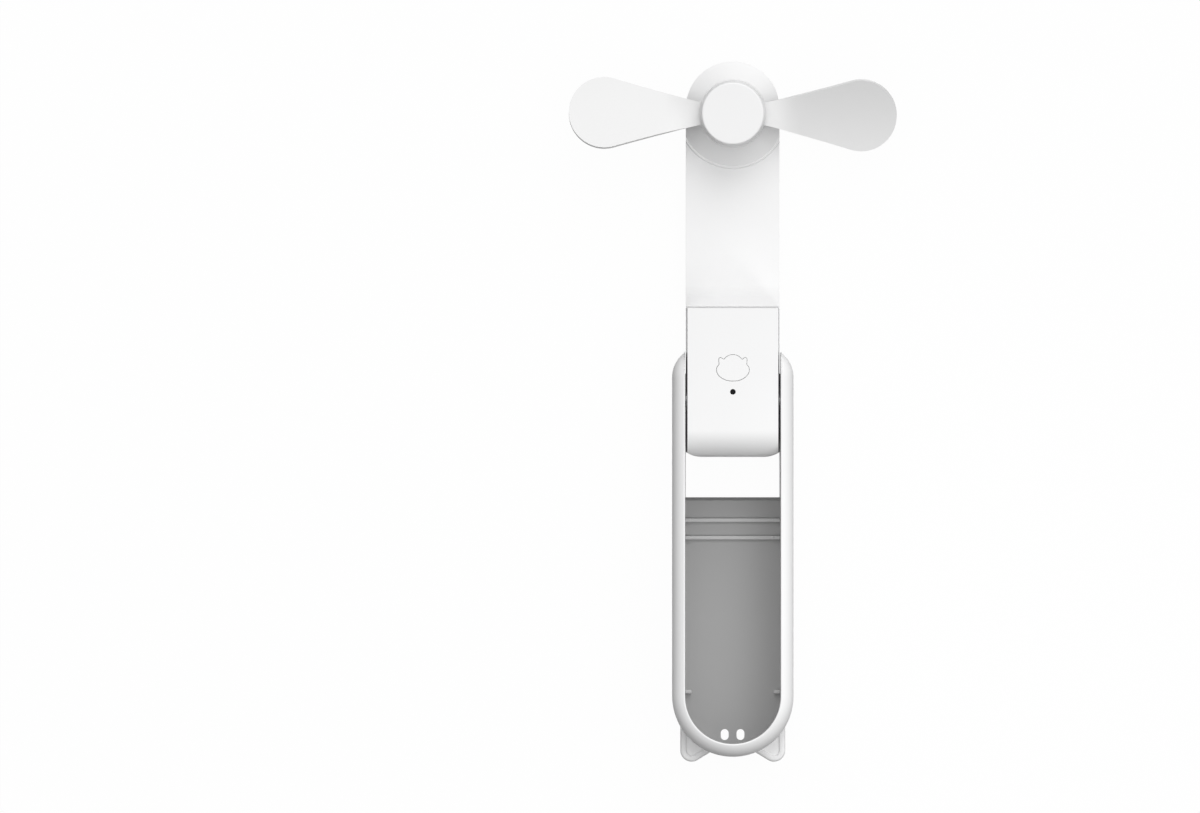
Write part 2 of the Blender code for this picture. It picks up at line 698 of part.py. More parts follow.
def port_outline(x, z, width, height, radius, grow=0):
    """A rounded slot in XZ, as circles for a hull."""
    half_width = width / 2 - radius
    half_height = height / 2 - radius
    corners = ((-1, -1), (1, -1), (1, 1), (-1, 1))
    circles = [(x + a * half_width, z + b * half_height, radius + grow) for a, b in corners]
    return hull_of_circles(circles, 3)


def port_prism(name, outline, low, high, look=None):
    """An outline in XZ extruded along Y between two places."""
    made = prism(name, outline, -high, -low, ARM, look)
    made.data.transform(Matrix.Rotation(math.pi / 2, 4, "X"))
    return made


def arm_housing():
    housing = arm_form("arm_housing", 0, WHITE_PLASTIC)
    cut(housing, arm_form("housing_hollow", ARM_WALL))
    for side_name, side in (("left", -1), ("right", 1)):
        start, end = (side * BOSS_FACE_X, 0, AXIS_Z), (side * (ARM_INSIDE_X + FIT_GAP), 0, AXIS_Z)
        join(housing, rod(f"hinge_boss_{side_name}", start, end, HINGE_BOSS_RADIUS, ARM))
        x = side * BOARD_BOSS_X
        foot = (x, BOARD_BOSS_Y, CONTROL_TOP_Z + FIT_GAP)
        roof = (x, BOARD_BOSS_Y, FRONT_INSIDE_Z + FIT_GAP)
        join(housing, rod(f"board_boss_{side_name}", foot, roof, BOARD_BOSS_RADIUS, ARM, sides=16))
        bore = (x, BOARD_BOSS_Y, CONTROL_BOARD_Z + BOARD_SCREW_LENGTH + FIT_GAP)
        below = (x, BOARD_BOSS_Y, CONTROL_BOARD_Z)
        cut(housing, rod(f"board_bore_{side_name}", below, bore, SCREW_RADIUS + FIT_GAP, ARM, sides=16))
        recess = side * (ARM_HALF_WIDTH - WASHER_THICKNESS - FIT_GAP), 0, AXIS_Z
        past = side * (ARM_HALF_WIDTH + OVERRUN), 0, AXIS_Z
        cut(housing, rod(f"washer_recess_{side_name}", recess, past, WASHER_RADIUS + FIT_GAP, ARM))
        screw = (side * MOTOR_SCREW_FROM_AXIS, ROTOR_Y, DOME_TOP_Z - ARM_WALL - OVERRUN)
        above = (side * MOTOR_SCREW_FROM_AXIS, ROTOR_Y, DOME_TOP_Z + OVERRUN)
        cut(housing, rod(f"motor_bore_{side_name}", screw, above, SCREW_RADIUS + FIT_GAP, ARM, sides=16))
    reach = ARM_HALF_WIDTH + OVERRUN
    ends = (-reach, 0, AXIS_Z), (reach, 0, AXIS_Z)
    cut(housing, rod("hinge_bores", *ends, HINGE_PIN_RADIUS + FIT_GAP, ARM))
    cut(housing, half_space("housing_below", -OVERRUN, COVER_HEIGHT + FIT_GAP))
    hole = (0, ROTOR_Y, DOME_TOP_Z - ARM_WALL - OVERRUN), (0, ROTOR_Y, DOME_TOP_Z + OVERRUN)
    cut(housing, rod("shaft_hole", *hole, BUSH_RADIUS + FIT_GAP, ARM))
    low, high = FRONT_INSIDE_Z - OVERRUN, BODY_DEPTH + OVERRUN
    cut(housing, prism("button_hole", head_outline(FIT_GAP), low, high, BUTTON))
    light = (0, INDICATOR_FROM_PIVOT, low), (0, INDICATOR_FROM_PIVOT, high)
    cut(housing, rod("indicator_hole", *light, INDICATOR_RADIUS + FIT_GAP, ARM, sides=20))
    near, far = -PIVOT_FROM_END - OVERRUN, END_INSIDE_Y + OVERRUN
    usb = port_outline(0, USB_Z, USB_WIDTH, USB_HEIGHT, USB_WALL, FIT_GAP)
    charge = port_outline(CHARGE_X, CHARGE_Z, CHARGE_WIDTH, CHARGE_HEIGHT, CHARGE_CORNER, FIT_GAP)
    cut(housing, port_prism("usb_hole", usb, near, far))
    cut(housing, port_prism("charge_hole", charge, near, far))
    lens = (LENS_X, near, LENS_Z), (LENS_X, far, LENS_Z)
    return cut(housing, rod("lens_hole", *lens, LENS_RADIUS + FIT_GAP, ARM))


def power_button():
    """A flush head-shaped cap with a flange behind the wall and a stem down to the switch."""
    flange_top = FRONT_INSIDE_Z - FIT_GAP
    flange_low = flange_top - BUTTON_FLANGE_THICKNESS
    middle = (flange_low + flange_top) / 2
    cap = prism("power_button", head_outline(0), middle, BODY_DEPTH, BUTTON, WHITE_PLASTIC)
    flange = prism("button_flange", button_flange_outline(), flange_low, flange_top, BUTTON)
    stem_foot = (0, 0, CONTROL_TOP_Z + FIT_GAP * 2 + SWITCH_HEIGHT + BUTTON_TRAVEL)
    stem = rod("button_stem", stem_foot, (0, 0, middle), BUTTON_STEM_RADIUS, BUTTON, sides=16)
    return join(cap, flange, stem)


def control_board():
    """The switch board below the front wall, with the switch, the lamp and its window."""
    low = (-CONTROL_BOARD_HALF_WIDTH, -CONTROL_BOARD_BEFORE_PIVOT, CONTROL_BOARD_Z)
    high = (CONTROL_BOARD_HALF_WIDTH, CONTROL_BOARD_END_Y, CONTROL_TOP_Z)
    board = box("control_board", low, high, ARM, GREEN_BOARD)
    seat = CONTROL_TOP_Z + FIT_GAP
    for side_name, side in (("left", -1), ("right", 1)):
        x, y = side * BOARD_BOSS_X, BOARD_BOSS_Y
        hole = (x, y, CONTROL_BOARD_Z - OVERRUN), (x, y, CONTROL_TOP_Z + OVERRUN)
        cut(board, rod(f"board_hole_{side_name}", *hole, SCREW_RADIUS + FIT_GAP, ARM, sides=16))
        head = CONTROL_BOARD_Z - FIT_GAP
        screw(f"board_screw_{side_name}", (x, y, head), BOARD_SCREW_LENGTH, 1)
    half = SWITCH_SIDE / 2
    low = (-half, BUTTON_FROM_PIVOT - half, seat)
    high = (half, BUTTON_FROM_PIVOT + half, seat + SWITCH_HEIGHT)
    box("tact_switch", low, high, ARM, BLACK_PLASTIC)
    half = LED_SIDE / 2
    low = (-half, INDICATOR_FROM_PIVOT - half, seat)
    high = (half, INDICATOR_FROM_PIVOT + half, seat + LED_HEIGHT)
    box("indicator_led", low, high, ARM, CLEAR)
    foot = seat + LED_HEIGHT + FIT_GAP
    flange = FRONT_INSIDE_Z - FIT_GAP
    profile = [
        (0, BODY_DEPTH - INDICATOR_DEPTH),
        (INDICATOR_RADIUS, BODY_DEPTH - INDICATOR_DEPTH),
        (INDICATOR_RADIUS, flange),
        (INDICATOR_FLANGE_RADIUS, flange),
        (INDICATOR_FLANGE_RADIUS, flange - INDICATOR_FLANGE_THICKNESS),
        (INDICATOR_RADIUS, flange - INDICATOR_FLANGE_THICKNESS),
        (INDICATOR_RADIUS, foot),
        (0, foot),
    ]
    turned("indicator_window", profile, ARM, BLACK_PLASTIC, (0, INDICATOR_FROM_PIVOT, 0), steps=20)


def screw(name, head_seat, length, direction):
    """A screw whose head lies against head_seat, pointing up for 1 and down for -1."""
    profile = [
        (0, length),
        (SCREW_RADIUS, length),
        (SCREW_RADIUS, 0),
        (SCREW_HEAD_RADIUS, 0),
        (SCREW_HEAD_RADIUS, -SCREW_HEAD_THICKNESS),
        (0, -SCREW_HEAD_THICKNESS),
    ]
    profile = [(radius, direction * height) for radius, height in profile][::direction]
    return turned(name, profile, ARM, STEEL, head_seat, steps=16)


def port_board():
    half = ARM_INSIDE_X - PORT_BOARD_SIDE_GAP
    low = (-half, END_INSIDE_Y + FIT_GAP, PORT_BOARD_Z)
    high = (half, END_INSIDE_Y + FIT_GAP + PORT_BOARD_LENGTH, PORT_BOARD_Z + BOARD_THICKNESS)
    box("port_board", low, high, ARM, GREEN_BOARD)


def socket(name, x, z, width, height, depth, wall, corner, tongue_thickness, side_gap, tongue_look):
    """A metal socket shell open to the end face, and the plastic tongue on its back wall."""
    mouth = PORT_RECESS - PIVOT_FROM_END
    back = mouth + depth
    outer = port_outline(x, z, width, height, corner)
    inner = port_outline(x, z, width - wall * 2, height - wall * 2, max(corner - wall, MERGE_DISTANCE))
    shell = port_prism(name + "_shell", outer, mouth, back, STEEL)
    cut(shell, port_prism(name + "_mouth", inner, mouth - OVERRUN, back - wall))
    half = width / 2 - wall - side_gap
    low = (x - half, mouth + side_gap, z - tongue_thickness / 2)
    high = (x + half, back - wall - FIT_GAP, z + tongue_thickness / 2)
    box(name + "_tongue", low, high, ARM, tongue_look)


def sockets():
    usb = USB_WIDTH, USB_HEIGHT, USB_DEPTH, USB_WALL, USB_WALL, USB_TONGUE_THICKNESS
    socket("usb_output", 0, USB_Z, *usb, USB_TONGUE_SIDE_GAP, SOFT_WHITE)
    charge = CHARGE_WIDTH, CHARGE_HEIGHT, CHARGE_DEPTH, CHARGE_WALL, CHARGE_CORNER
    tongue = CHARGE_TONGUE_THICKNESS, CHARGE_TONGUE_SIDE_GAP
    socket("charging_port", CHARGE_X, CHARGE_Z, *charge, *tongue, BLACK_PLASTIC)


def flashlight():
    front = PORT_RECESS - PIVOT_FROM_END
    lens = (LENS_X, front, LENS_Z), (LENS_X, front + LENS_THICKNESS, LENS_Z)
    rod("flashlight_lens", *lens, LENS_RADIUS, ARM, CLEAR)
    start = front + LENS_THICKNESS + FIT_GAP
    lamp = (LENS_X, start, LENS_Z), (LENS_X, start + FLASHLIGHT_LENGTH, LENS_Z)
    rod("flashlight_led", *lamp, FLASHLIGHT_RADIUS, ARM, CLEAR, sides=16)


def battery():
    """Two pouch cells on a foam pad."""
    half = CELL_HALF_WIDTH
    low = (PAD_MARGIN - half, PAD_MARGIN + CELL_START_Y, ARM_WALL + FIT_GAP)
    high = (half - PAD_MARGIN, CELL_END_Y - PAD_MARGIN, CELL_SEAT_Z - FIT_GAP)
    box("battery_pad", low, high, ARM, FOAM)
    seat = CELL_SEAT_Z
    for name in ("battery_cell_lower", "battery_cell_upper"):
        low = (-half, CELL_START_Y, seat)
        high = (half, CELL_END_Y, seat + CELL_THICKNESS)
        cell = box(name, low, high, ARM, FOIL)
        round_edges(cell, CELL_ROUNDING, 2)
        seat = high[2] + FIT_GAP


def wire(name, route, look):
    """A round wire along a route, its corners eased by one point on each side of them."""
    route = [Vector(place) for place in route]
    points = [route[0]]
    for before, here, after in zip(route, route[1:], route[2:]):
        back = (before - here).normalized() * WIRE_BEND
        ahead = (after - here).normalized() * WIRE_BEND
        points += [here + back, here + (back + ahead) / 4, here + ahead]
    points.append(route[-1])
    path = bpy.data.curves.new(name, "CURVE")
    path.dimensions = "3D"
    path.bevel_depth = WIRE_RADIUS
    path.bevel_resolution = 2
    path.use_fill_caps = True
    spline = path.splines.new("POLY")
    spline.points.add(len(points) - 1)
    for point, place in zip(spline.points, points):
        point.co = (*place, 1)
    return add_object(name, path, ARM, look)


def wires():
    """Two motor wires through the panel and up to the board, and two battery wires up to it."""
    sides = (("left", -1, BLACK_WIRE), ("right", 1, RED_WIRE))
    rise_y = (CELL_END_Y + STEP_Y - ARM_WALL) / 2
    above_board = CONTROL_TOP_Z + FIT_GAP + WIRE_RADIUS
    fall_y = CELL_START_Y - FIT_GAP - WIRE_STUB - WIRE_BEND
    for side_name, side, look in sides:
        x = side * MOTOR_WIRE_X
        motor_side = ROTOR_Y - math.sqrt(MOTOR_RADIUS**2 - MOTOR_WIRE_X**2) - FIT_GAP - WIRE_RADIUS
        route = [(x, motor_side, MOTOR_WIRE_Z), (x, rise_y, MOTOR_WIRE_Z), (x, rise_y, above_board)]
        end = (x, CONTROL_BOARD_END_Y - WIRE_BEND * 2, above_board)
        wire(f"motor_wire_{side_name}", route + [end], look)
        x = side * BATTERY_WIRE_X
        start = (x, CELL_START_Y - FIT_GAP, BATTERY_WIRE_Z)
        route = [start, (x, fall_y, BATTERY_WIRE_Z), (x, fall_y, CONTROL_BOARD_Z - FIT_GAP)]
        wire(f"battery_wire_{side_name}", route, look)


def motor():
    """The can hangs below the dome by two screws, with a bush for the shaft and a plate below."""
    place = (0, ROTOR_Y, 0)
    top = DOME_TOP_Z - ARM_WALL - FIT_GAP
    low = top - MOTOR_HEIGHT
    inner = MOTOR_RADIUS - MOTOR_WALL
    bore = BUSH_RADIUS + FIT_GAP
    can = [(MOTOR_RADIUS, top), (MOTOR_RADIUS, low), (inner, low), (inner, top - MOTOR_WALL)]
    can += [(bore, top - MOTOR_WALL), (bore, top)]
    shell = turned("motor_can", can, ARM, STEEL, place, ring=True)
    for side_name, side in (("left", -1), ("right", 1)):
        x = side * MOTOR_SCREW_FROM_AXIS
        hole = (x, 0, top - MOTOR_WALL - OVERRUN), (x, 0, top + OVERRUN)
        bore_cutter = rod(f"can_hole_{side_name}", *hole, SCREW_RADIUS + FIT_GAP, ROTOR, sides=16)
        cut(shell, bore_cutter)
        seat = (x, ROTOR_Y, DOME_TOP_Z + FIT_GAP)
        screw(f"motor_screw_{side_name}", seat, MOTOR_SCREW_LENGTH + ARM_WALL, -1)
    plate_top = low + MOTOR_PLATE_THICKNESS
    plate = [(0, plate_top), (inner - FIT_GAP, plate_top), (inner - FIT_GAP, low), (0, low)]
    turned("motor_end_plate", plate, ARM, BLACK_PLASTIC, place)
    shaft_gap = SHAFT_RADIUS + FIT_GAP
    flange_top = top - MOTOR_WALL - FIT_GAP
    bush = [
        (BUSH_RADIUS, HUB_Z - FIT_GAP),
        (BUSH_RADIUS, flange_top),
        (BUSH_RADIUS + BUSH_FLANGE, flange_top),
        (BUSH_RADIUS + BUSH_FLANGE, flange_top - BUSH_FLANGE_THICKNESS),
        (shaft_gap, flange_top - BUSH_FLANGE_THICKNESS),
        (shaft_gap, HUB_Z - FIT_GAP),
    ]
    turned("motor_bushing", bush, ARM, BRASS, place, ring=True, steps=24)
    armature_top = flange_top - BUSH_FLANGE_THICKNESS - FIT_GAP
    armature_low = max(armature_top - ARMATURE_HEIGHT, plate_top + FIT_GAP)
    ring = ring_profile(shaft_gap, ARMATURE_RADIUS, armature_low, armature_top)
    turned("motor_armature", ring, ROTOR, BRASS, ring=True)
    shaft_low = plate_top + FIT_GAP
    shaft_top = HUB_CAP_Z + HUB_CAP_HEIGHT / 2
    rod("motor_shaft", (0, 0, shaft_low), (0, 0, shaft_top), SHAFT_RADIUS, ROTOR, STEEL, sides=16)


def hub_base():
    """A disc with the shaft's boss, and a wall on the side that the blades never reach."""
    disc_top = HUB_Z + HUB_BASE_THICKNESS
    boss_top = HUB_CAP_Z - FIT_GAP
    bore = SHAFT_RADIUS + FIT_GAP
    profile = [
        (HUB_BOSS_RADIUS, boss_top),
        (HUB_BOSS_RADIUS, disc_top),
        (HUB_BASE_RADIUS, disc_top),
        (HUB_BASE_RADIUS, HUB_Z),
        (bore, HUB_Z),
        (bore, boss_top),
    ]
    base = turned("hub_base", profile, ROTOR, WHITE_PLASTIC, ring=True, steps=48)
    inner = HUB_BASE_RADIUS - STOP_WALL_THICKNESS
    start, end = 90 - STOP_WALL_HALF_ANGLE, 90 + STOP_WALL_HALF_ANGLE
    outline = arc((0, 0), HUB_BASE_RADIUS, start, end, 12) + arc((0, 0), inner, end, start, 12)
    join(base, prism("stop_wall", outline, HUB_Z + HUB_BASE_THICKNESS / 2, boss_top, ROTOR))
    for side_name, side in (("left", -1), ("right", 1)):
        x = side * BLADE_PIN_OFFSET
        hole = (x, 0, HUB_Z - OVERRUN), (x, 0, disc_top + OVERRUN)
        hole_radius = BLADE_PIN_RADIUS + FIT_GAP
        cut(base, rod(f"base_pin_hole_{side_name}", *hole, hole_radius, ROTOR, sides=16))
    return base


def hub_cap():
    """The round cap that shows: a flat top, drafted sides, and bosses for the shaft and pins."""
    inside = HUB_TOP_Z - HUB_WALL
    inner = HUB_RADIUS - HUB_WALL
    easing = arc((HUB_RADIUS - HUB_CAP_ROUNDING, HUB_TOP_Z - HUB_CAP_ROUNDING), HUB_CAP_ROUNDING, 90, 0, 3)
    profile = [(0, HUB_TOP_Z)] + easing
    profile += [(HUB_RADIUS + HUB_CAP_DRAFT, HUB_CAP_Z), (inner, HUB_CAP_Z), (inner, inside), (0, inside)]
    cap = turned("hub_cap", profile, ROTOR, WHITE_PLASTIC, steps=56)
    bosses = [("shaft", 0, SHAFT_RADIUS)]
    bosses += [("left", -BLADE_PIN_OFFSET, BLADE_PIN_RADIUS), ("right", BLADE_PIN_OFFSET, BLADE_PIN_RADIUS)]
    overlap = HUB_WALL / 2
    for name, x, radius in bosses:
        foot, roof = (x, 0, HUB_CAP_Z), (x, 0, inside + overlap)
        join(cap, rod(f"cap_boss_{name}", foot, roof, radius + FIT_GAP + PIN_BOSS_WALL, ROTOR, sides=16))
    for name, x, radius in bosses:
        hole = (x, 0, HUB_CAP_Z - OVERRUN), (x, 0, HUB_CAP_Z + HUB_CAP_HEIGHT / 2 + FIT_GAP)
        cut(cap, rod(f"cap_hole_{name}", *hole, radius + FIT_GAP, ROTOR, sides=16))
    return cap


def blade_pins():
    for side_name, x in (("left", -BLADE_PIN_OFFSET), ("right", BLADE_PIN_OFFSET)):
        ends = (x, 0, HUB_Z), (x, 0, HUB_CAP_Z + HUB_CAP_HEIGHT / 2)
        rod(f"blade_pin_{side_name}", *ends, BLADE_PIN_RADIUS, ROTOR, STEEL, sides=16)


def eased(share):
    share = min(1, max(0, share))
    return share * share * (3 - 2 * share)


def blade_stations():
    """(distance from the pin, half width) pairs: a slowly widening neck, then a round lobe."""
    lobe = FAN_RADIUS - BLADE_LOBE_RADIUS - BLADE_PIN_OFFSET
    edge = math.radians(BLADE_EDGE_ANGLE)
    meet = lobe - BLADE_LOBE_RADIUS * math.sin(edge)
    width = BLADE_LOBE_RADIUS * math.cos(edge)
    stations = []
    for i in range(12):
        share = i / 12
        start = BLADE_ROOT_HALF_WIDTH * (2 * share**3 - 3 * share**2 + 1)
        start += meet * BLADE_ROOT_SLOPE * (share**3 - 2 * share**2 + share)
        end = width * (3 * share**2 - 2 * share**3) + meet * math.tan(edge) * (share**3 - share**2)
        stations.append((meet * share, start + end))
    lobe_steps = 11
    for i in range(lobe_steps):
        angle = -edge + (math.pi / 2 + edge) * i / lobe_steps
        stations.append((lobe + BLADE_LOBE_RADIUS * math.sin(angle), BLADE_LOBE_RADIUS * math.cos(angle)))
    return stations + [(lobe + BLADE_LOBE_RADIUS, 0)]


def blade(side_name, parent):
    """A thin pitched sheet from its outline, joined to a flat ring round the pin."""
    shape = bmesh.new()
    columns = 6
    rows = []
    for reach, half_width in blade_stations():
        pitch = math.radians(BLADE_PITCH) * eased((reach - PITCH_STARTS_AT) / PITCH_RAMP)
        row = []
        for column in range(columns + 1):
            y = half_width * (2 * column / columns - 1)
            row.append(shape.verts.new((reach, y, BLADE_Z + y * math.tan(pitch))))
        rows.append(row)
    for before, after in zip(rows, rows[1:]):
        for i in range(columns):
            shape.faces.new((before[i], after[i], after[i + 1], before[i + 1]))
    bmesh.ops.remove_doubles(shape, verts=shape.verts, dist=MERGE_DISTANCE)
    name = f"blade_{side_name}"
    sheet = add_object(name, mesh_from(shape, name), parent, SOFT_WHITE)
    wall = sheet.modifiers.new("thickness", "SOLIDIFY")
    wall.thickness = BLADE_THICKNESS
    wall.offset = 0
    low, high = (0, 0, KNUCKLE_Z), (0, 0, KNUCKLE_Z + KNUCKLE_HEIGHT)
    join(sheet, rod(f"{name}_knuckle", low, high, KNUCKLE_RADIUS, parent))
    low, high = (0, 0, KNUCKLE_Z - OVERRUN), (0, 0, KNUCKLE_Z + KNUCKLE_HEIGHT + OVERRUN)
    return cut(sheet, rod(f"{name}_bore", low, high, BLADE_PIN_RADIUS + FIT_GAP, parent, sides=16))


def main():
    body_shell()
    bay_liner()
    hinge("left", -1)
    hinge("right", 1)
    arm_cover()
    arm_housing()
    power_button()
    control_board()
    port_board()
    sockets()
    flashlight()
    battery()
    wires()
    motor()
    hub_base()
    hub_cap()
    blade_pins()
    blade("right", BLADE_RIGHT)
    blade("left", BLADE_LEFT)


main()
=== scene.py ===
"""The looks of a folding pocket fan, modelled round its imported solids.

Lengths are in metres. X runs across the body, +Y from the hinge to the rotor, +Z out of the bay.
"""

import json
import math
from contextlib import contextmanager

import bmesh
import bpy
from bpy.props import FloatProperty, FloatVectorProperty, PointerProperty
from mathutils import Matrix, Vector


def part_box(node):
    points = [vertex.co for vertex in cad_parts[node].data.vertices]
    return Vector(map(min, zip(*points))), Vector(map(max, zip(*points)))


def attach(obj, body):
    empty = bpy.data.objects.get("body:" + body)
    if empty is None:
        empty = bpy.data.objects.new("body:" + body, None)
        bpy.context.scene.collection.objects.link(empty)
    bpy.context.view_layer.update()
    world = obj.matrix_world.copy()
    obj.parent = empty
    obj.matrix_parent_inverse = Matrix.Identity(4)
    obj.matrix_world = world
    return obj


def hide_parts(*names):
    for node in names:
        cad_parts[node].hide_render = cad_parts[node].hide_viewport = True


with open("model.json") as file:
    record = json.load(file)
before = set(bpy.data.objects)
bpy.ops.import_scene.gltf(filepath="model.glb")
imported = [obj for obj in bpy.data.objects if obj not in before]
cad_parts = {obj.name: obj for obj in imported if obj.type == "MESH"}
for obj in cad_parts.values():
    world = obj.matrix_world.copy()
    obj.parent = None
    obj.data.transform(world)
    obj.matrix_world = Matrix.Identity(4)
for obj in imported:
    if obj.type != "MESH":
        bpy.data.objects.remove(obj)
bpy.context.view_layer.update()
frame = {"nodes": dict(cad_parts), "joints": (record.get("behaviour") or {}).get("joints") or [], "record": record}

bl_info = {
    "name": "Pocket fan looks",
    "version": (1, 0, 0),
    "blender": (4, 5, 0),
    "location": "View3D > Sidebar > Pocket fan",
    "description": "Models the shells, blades, sockets and finishes of a folding pocket fan",
    "category": "Object",
}

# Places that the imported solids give
JOINTS = {joint["name"]: joint for joint in frame["joints"]}
PIVOT = Vector(JOINTS["arm_fold"]["pos_m"])
ROTOR = Vector(JOINTS["rotor_spin"]["pos_m"])
RIGHT_PIN = Vector(JOINTS["blade_right_fold"]["pos_m"])
SHELL_LOW, SHELL_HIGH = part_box("body_shell")
HOUSING_LOW, HOUSING_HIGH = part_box("arm_housing")
CAP_LOW, CAP_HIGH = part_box("hub_cap")
BUTTON_LOW, BUTTON_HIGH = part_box("power_button")
WINDOW_LOW, WINDOW_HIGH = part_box("indicator_window")
LENS_LOW, LENS_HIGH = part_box("flashlight_lens")
LINER_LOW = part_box("bay_liner")[0]
COVER_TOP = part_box("arm_cover")[1].z
WINDOW_CENTRE = (WINDOW_LOW + WINDOW_HIGH) / 2
LENS_CENTRE = (LENS_LOW + LENS_HIGH) / 2
LENS_RADIUS = (LENS_HIGH.x - LENS_LOW.x) / 2
BLADE_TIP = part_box("blade_right")[1].x
HALF_WIDTH = SHELL_HIGH.x
DEPTH = SHELL_HIGH.z
HINGE_END = 2 * PIVOT.y - HOUSING_LOW.y

# The right half of the button's head outline, from its crown round its ear and cheek to its chin,
# as shares of the button's half width and half length
HEAD_SHARES = (
    (0, 1), (0.23, 0.95), (0.43, 0.81), (0.57, 0.64), (0.68, 0.74), (0.79, 0.78),
    (0.86, 0.68), (0.86, 0.46), (0.85, 0.26), (0.94, 0.12), (1, -0.07),
    (0.985, -0.32), (0.87, -0.58), (0.65, -0.80), (0.35, -0.96), (0, -1),
)

OVERRUN = 0.002
TINY = 0.00001
LINER_GAP = 0.0003
TIP_ANGLE = math.radians(88)
BLADE_COLUMNS = 12
NECK_STEPS = 26
LOBE_STEPS = 22
NECK_SLOPE = 0.2
BLADE_EASING = 0.35
MIX_FIRST, MIX_SECOND, MIX_RESULT = 6, 7, 2
OUTPUT_CONTACTS = 4
CHARGING_CONTACTS = 8
KEY_LAMP = {"direction": (0.16, 0.80, 0.62), "distance": 2.5, "width": 1.5, "length": 1.5}
FILL_LAMP = {"direction": (0.10, -0.08, 0.16), "distance": 0.21, "width": 0.04, "length": 0.16}


def length(name, default, description):
    return FloatProperty(name=name, description=description, default=default, unit="LENGTH", precision=5)


def angle(name, degrees, description):
    return FloatProperty(name=name, description=description, default=math.radians(degrees), subtype="ANGLE")


def colour(name, default, description):
    return FloatVectorProperty(
        name=name, description=description, default=default, size=3, subtype="COLOR", min=0, max=1
    )


def share(name, default, description):
    return FloatProperty(name=name, description=description, default=default, min=0, subtype="FACTOR")


def power(name, default, description):
    return FloatProperty(name=name, description=description, default=default, unit="POWER")


class BodySizes(bpy.types.PropertyGroup):
    rail: length("Rail", 0.00455, "Wall on each side of the bay")
    back: length("Back", 0.0016, "Thickness of the bay's back")
    corner: length("Corner", 0.0107, "Radius of the hinge end's corners, from the front")
    end_fillet: length("End fillet", 0.0094, "Radius of the hinge end, from the side")
    rounding: length("Rounding", 0.0042, "Radius of the outer edges on the back")
    crown: length("Crown", 0.0060, "Radius of the outer edges on the front")
    rim: length("Rim", 0.0005, "Easing of the edge round the bay")
    sweep_gap: length("Sweep gap", 0.00035, "Gap between the bay's floor and the arm's swinging corner")
    lining: length("Lining", 0.00025, "Depth of the wall's recess for the liner's rim")
    lip: length("Lip", 0.0003, "Width of the lip at each rail's foot")
    lip_height: length("Lip height", 0.0010, "Height of the lips")
    socket_radius: length("Socket radius", 0.0035, "Radius of the hinge sockets")
    socket_depth: length("Socket depth", 0.0031, "Depth of the hinge sockets")
    hole_width: length("Hole width", 0.0028, "Width of a lanyard hole")
    hole_length: length("Hole length", 0.0039, "Length of a lanyard hole")
    hole_pitch: length("Hole pitch", 0.0056, "Distance between the lanyard holes")
    hole_place: length("Hole place", 0.0031, "Distance of the holes from the bay's end")


class EarSizes(bpy.types.PropertyGroup):
    tip_x: length("Tip", 0.0146, "Distance of an ear's tip from the middle")
    tip_radius: length("Tip radius", 0.0040, "Radius of an ear's tip")
    root_radius: length("Root radius", 0.0026, "Radius of an ear's roots")
    outer_x: length("Outer root", 0.0160, "Distance of the outer root from the middle")
    outer_y: length("Outer root height", 0.0135, "Distance of the outer root from the end")
    inner_x: length("Inner root", 0.0085, "Distance of the inner root from the middle")
    inner_y: length("Inner root height", 0.0043, "Distance of the inner root from the end")
    thickness: length("Thickness", 0.0080, "Thickness of an ear")
    rounding: length("Rounding", 0.0009, "Radius of an ear's edges")
    rim: length("Rim", 0.0016, "Width of the rim round an ear's hollow")
    hollow: length("Hollow", 0.0008, "Depth of an ear's hollow")


class LinerSizes(bpy.types.PropertyGroup):
    thickness: length("Thickness", 0.0012, "Thickness of the liner's floor")
    wall: length("Wall", 0.00030, "Thickness of the upright rim")
    rim_below: length("Rim below", 0.0012, "Distance of the rim below the rails' top")
    nosing: length("Nosing", 0.0008, "Thickness of the edge towards the hinge")
    rib_width: length("Rib width", 0.0014, "Width of a rib")
    rib_height: length("Rib height", 0.0012, "Height of a rib")
    first_rib: length("First rib", 0.0420, "Distance from the hinge to the first rib")
    rib_pitch: length("Rib pitch", 0.0062, "Distance between the cross ribs")
    side_rib: length("Side rib", 0.0023, "Length of a short rib at the side")
    side_rib_place: length("Side rib place", 0.0014, "Distance of the side ribs from the round end's centre")
    rib_groove: length("Rib groove", 0.00025, "Width and depth of the groove beside a rib")
    rib_end: length("Rib end", 0.0008, "Extra height of the ribs' ends")
    easing: length("Easing", 0.0004, "Easing of the ribs' edges")


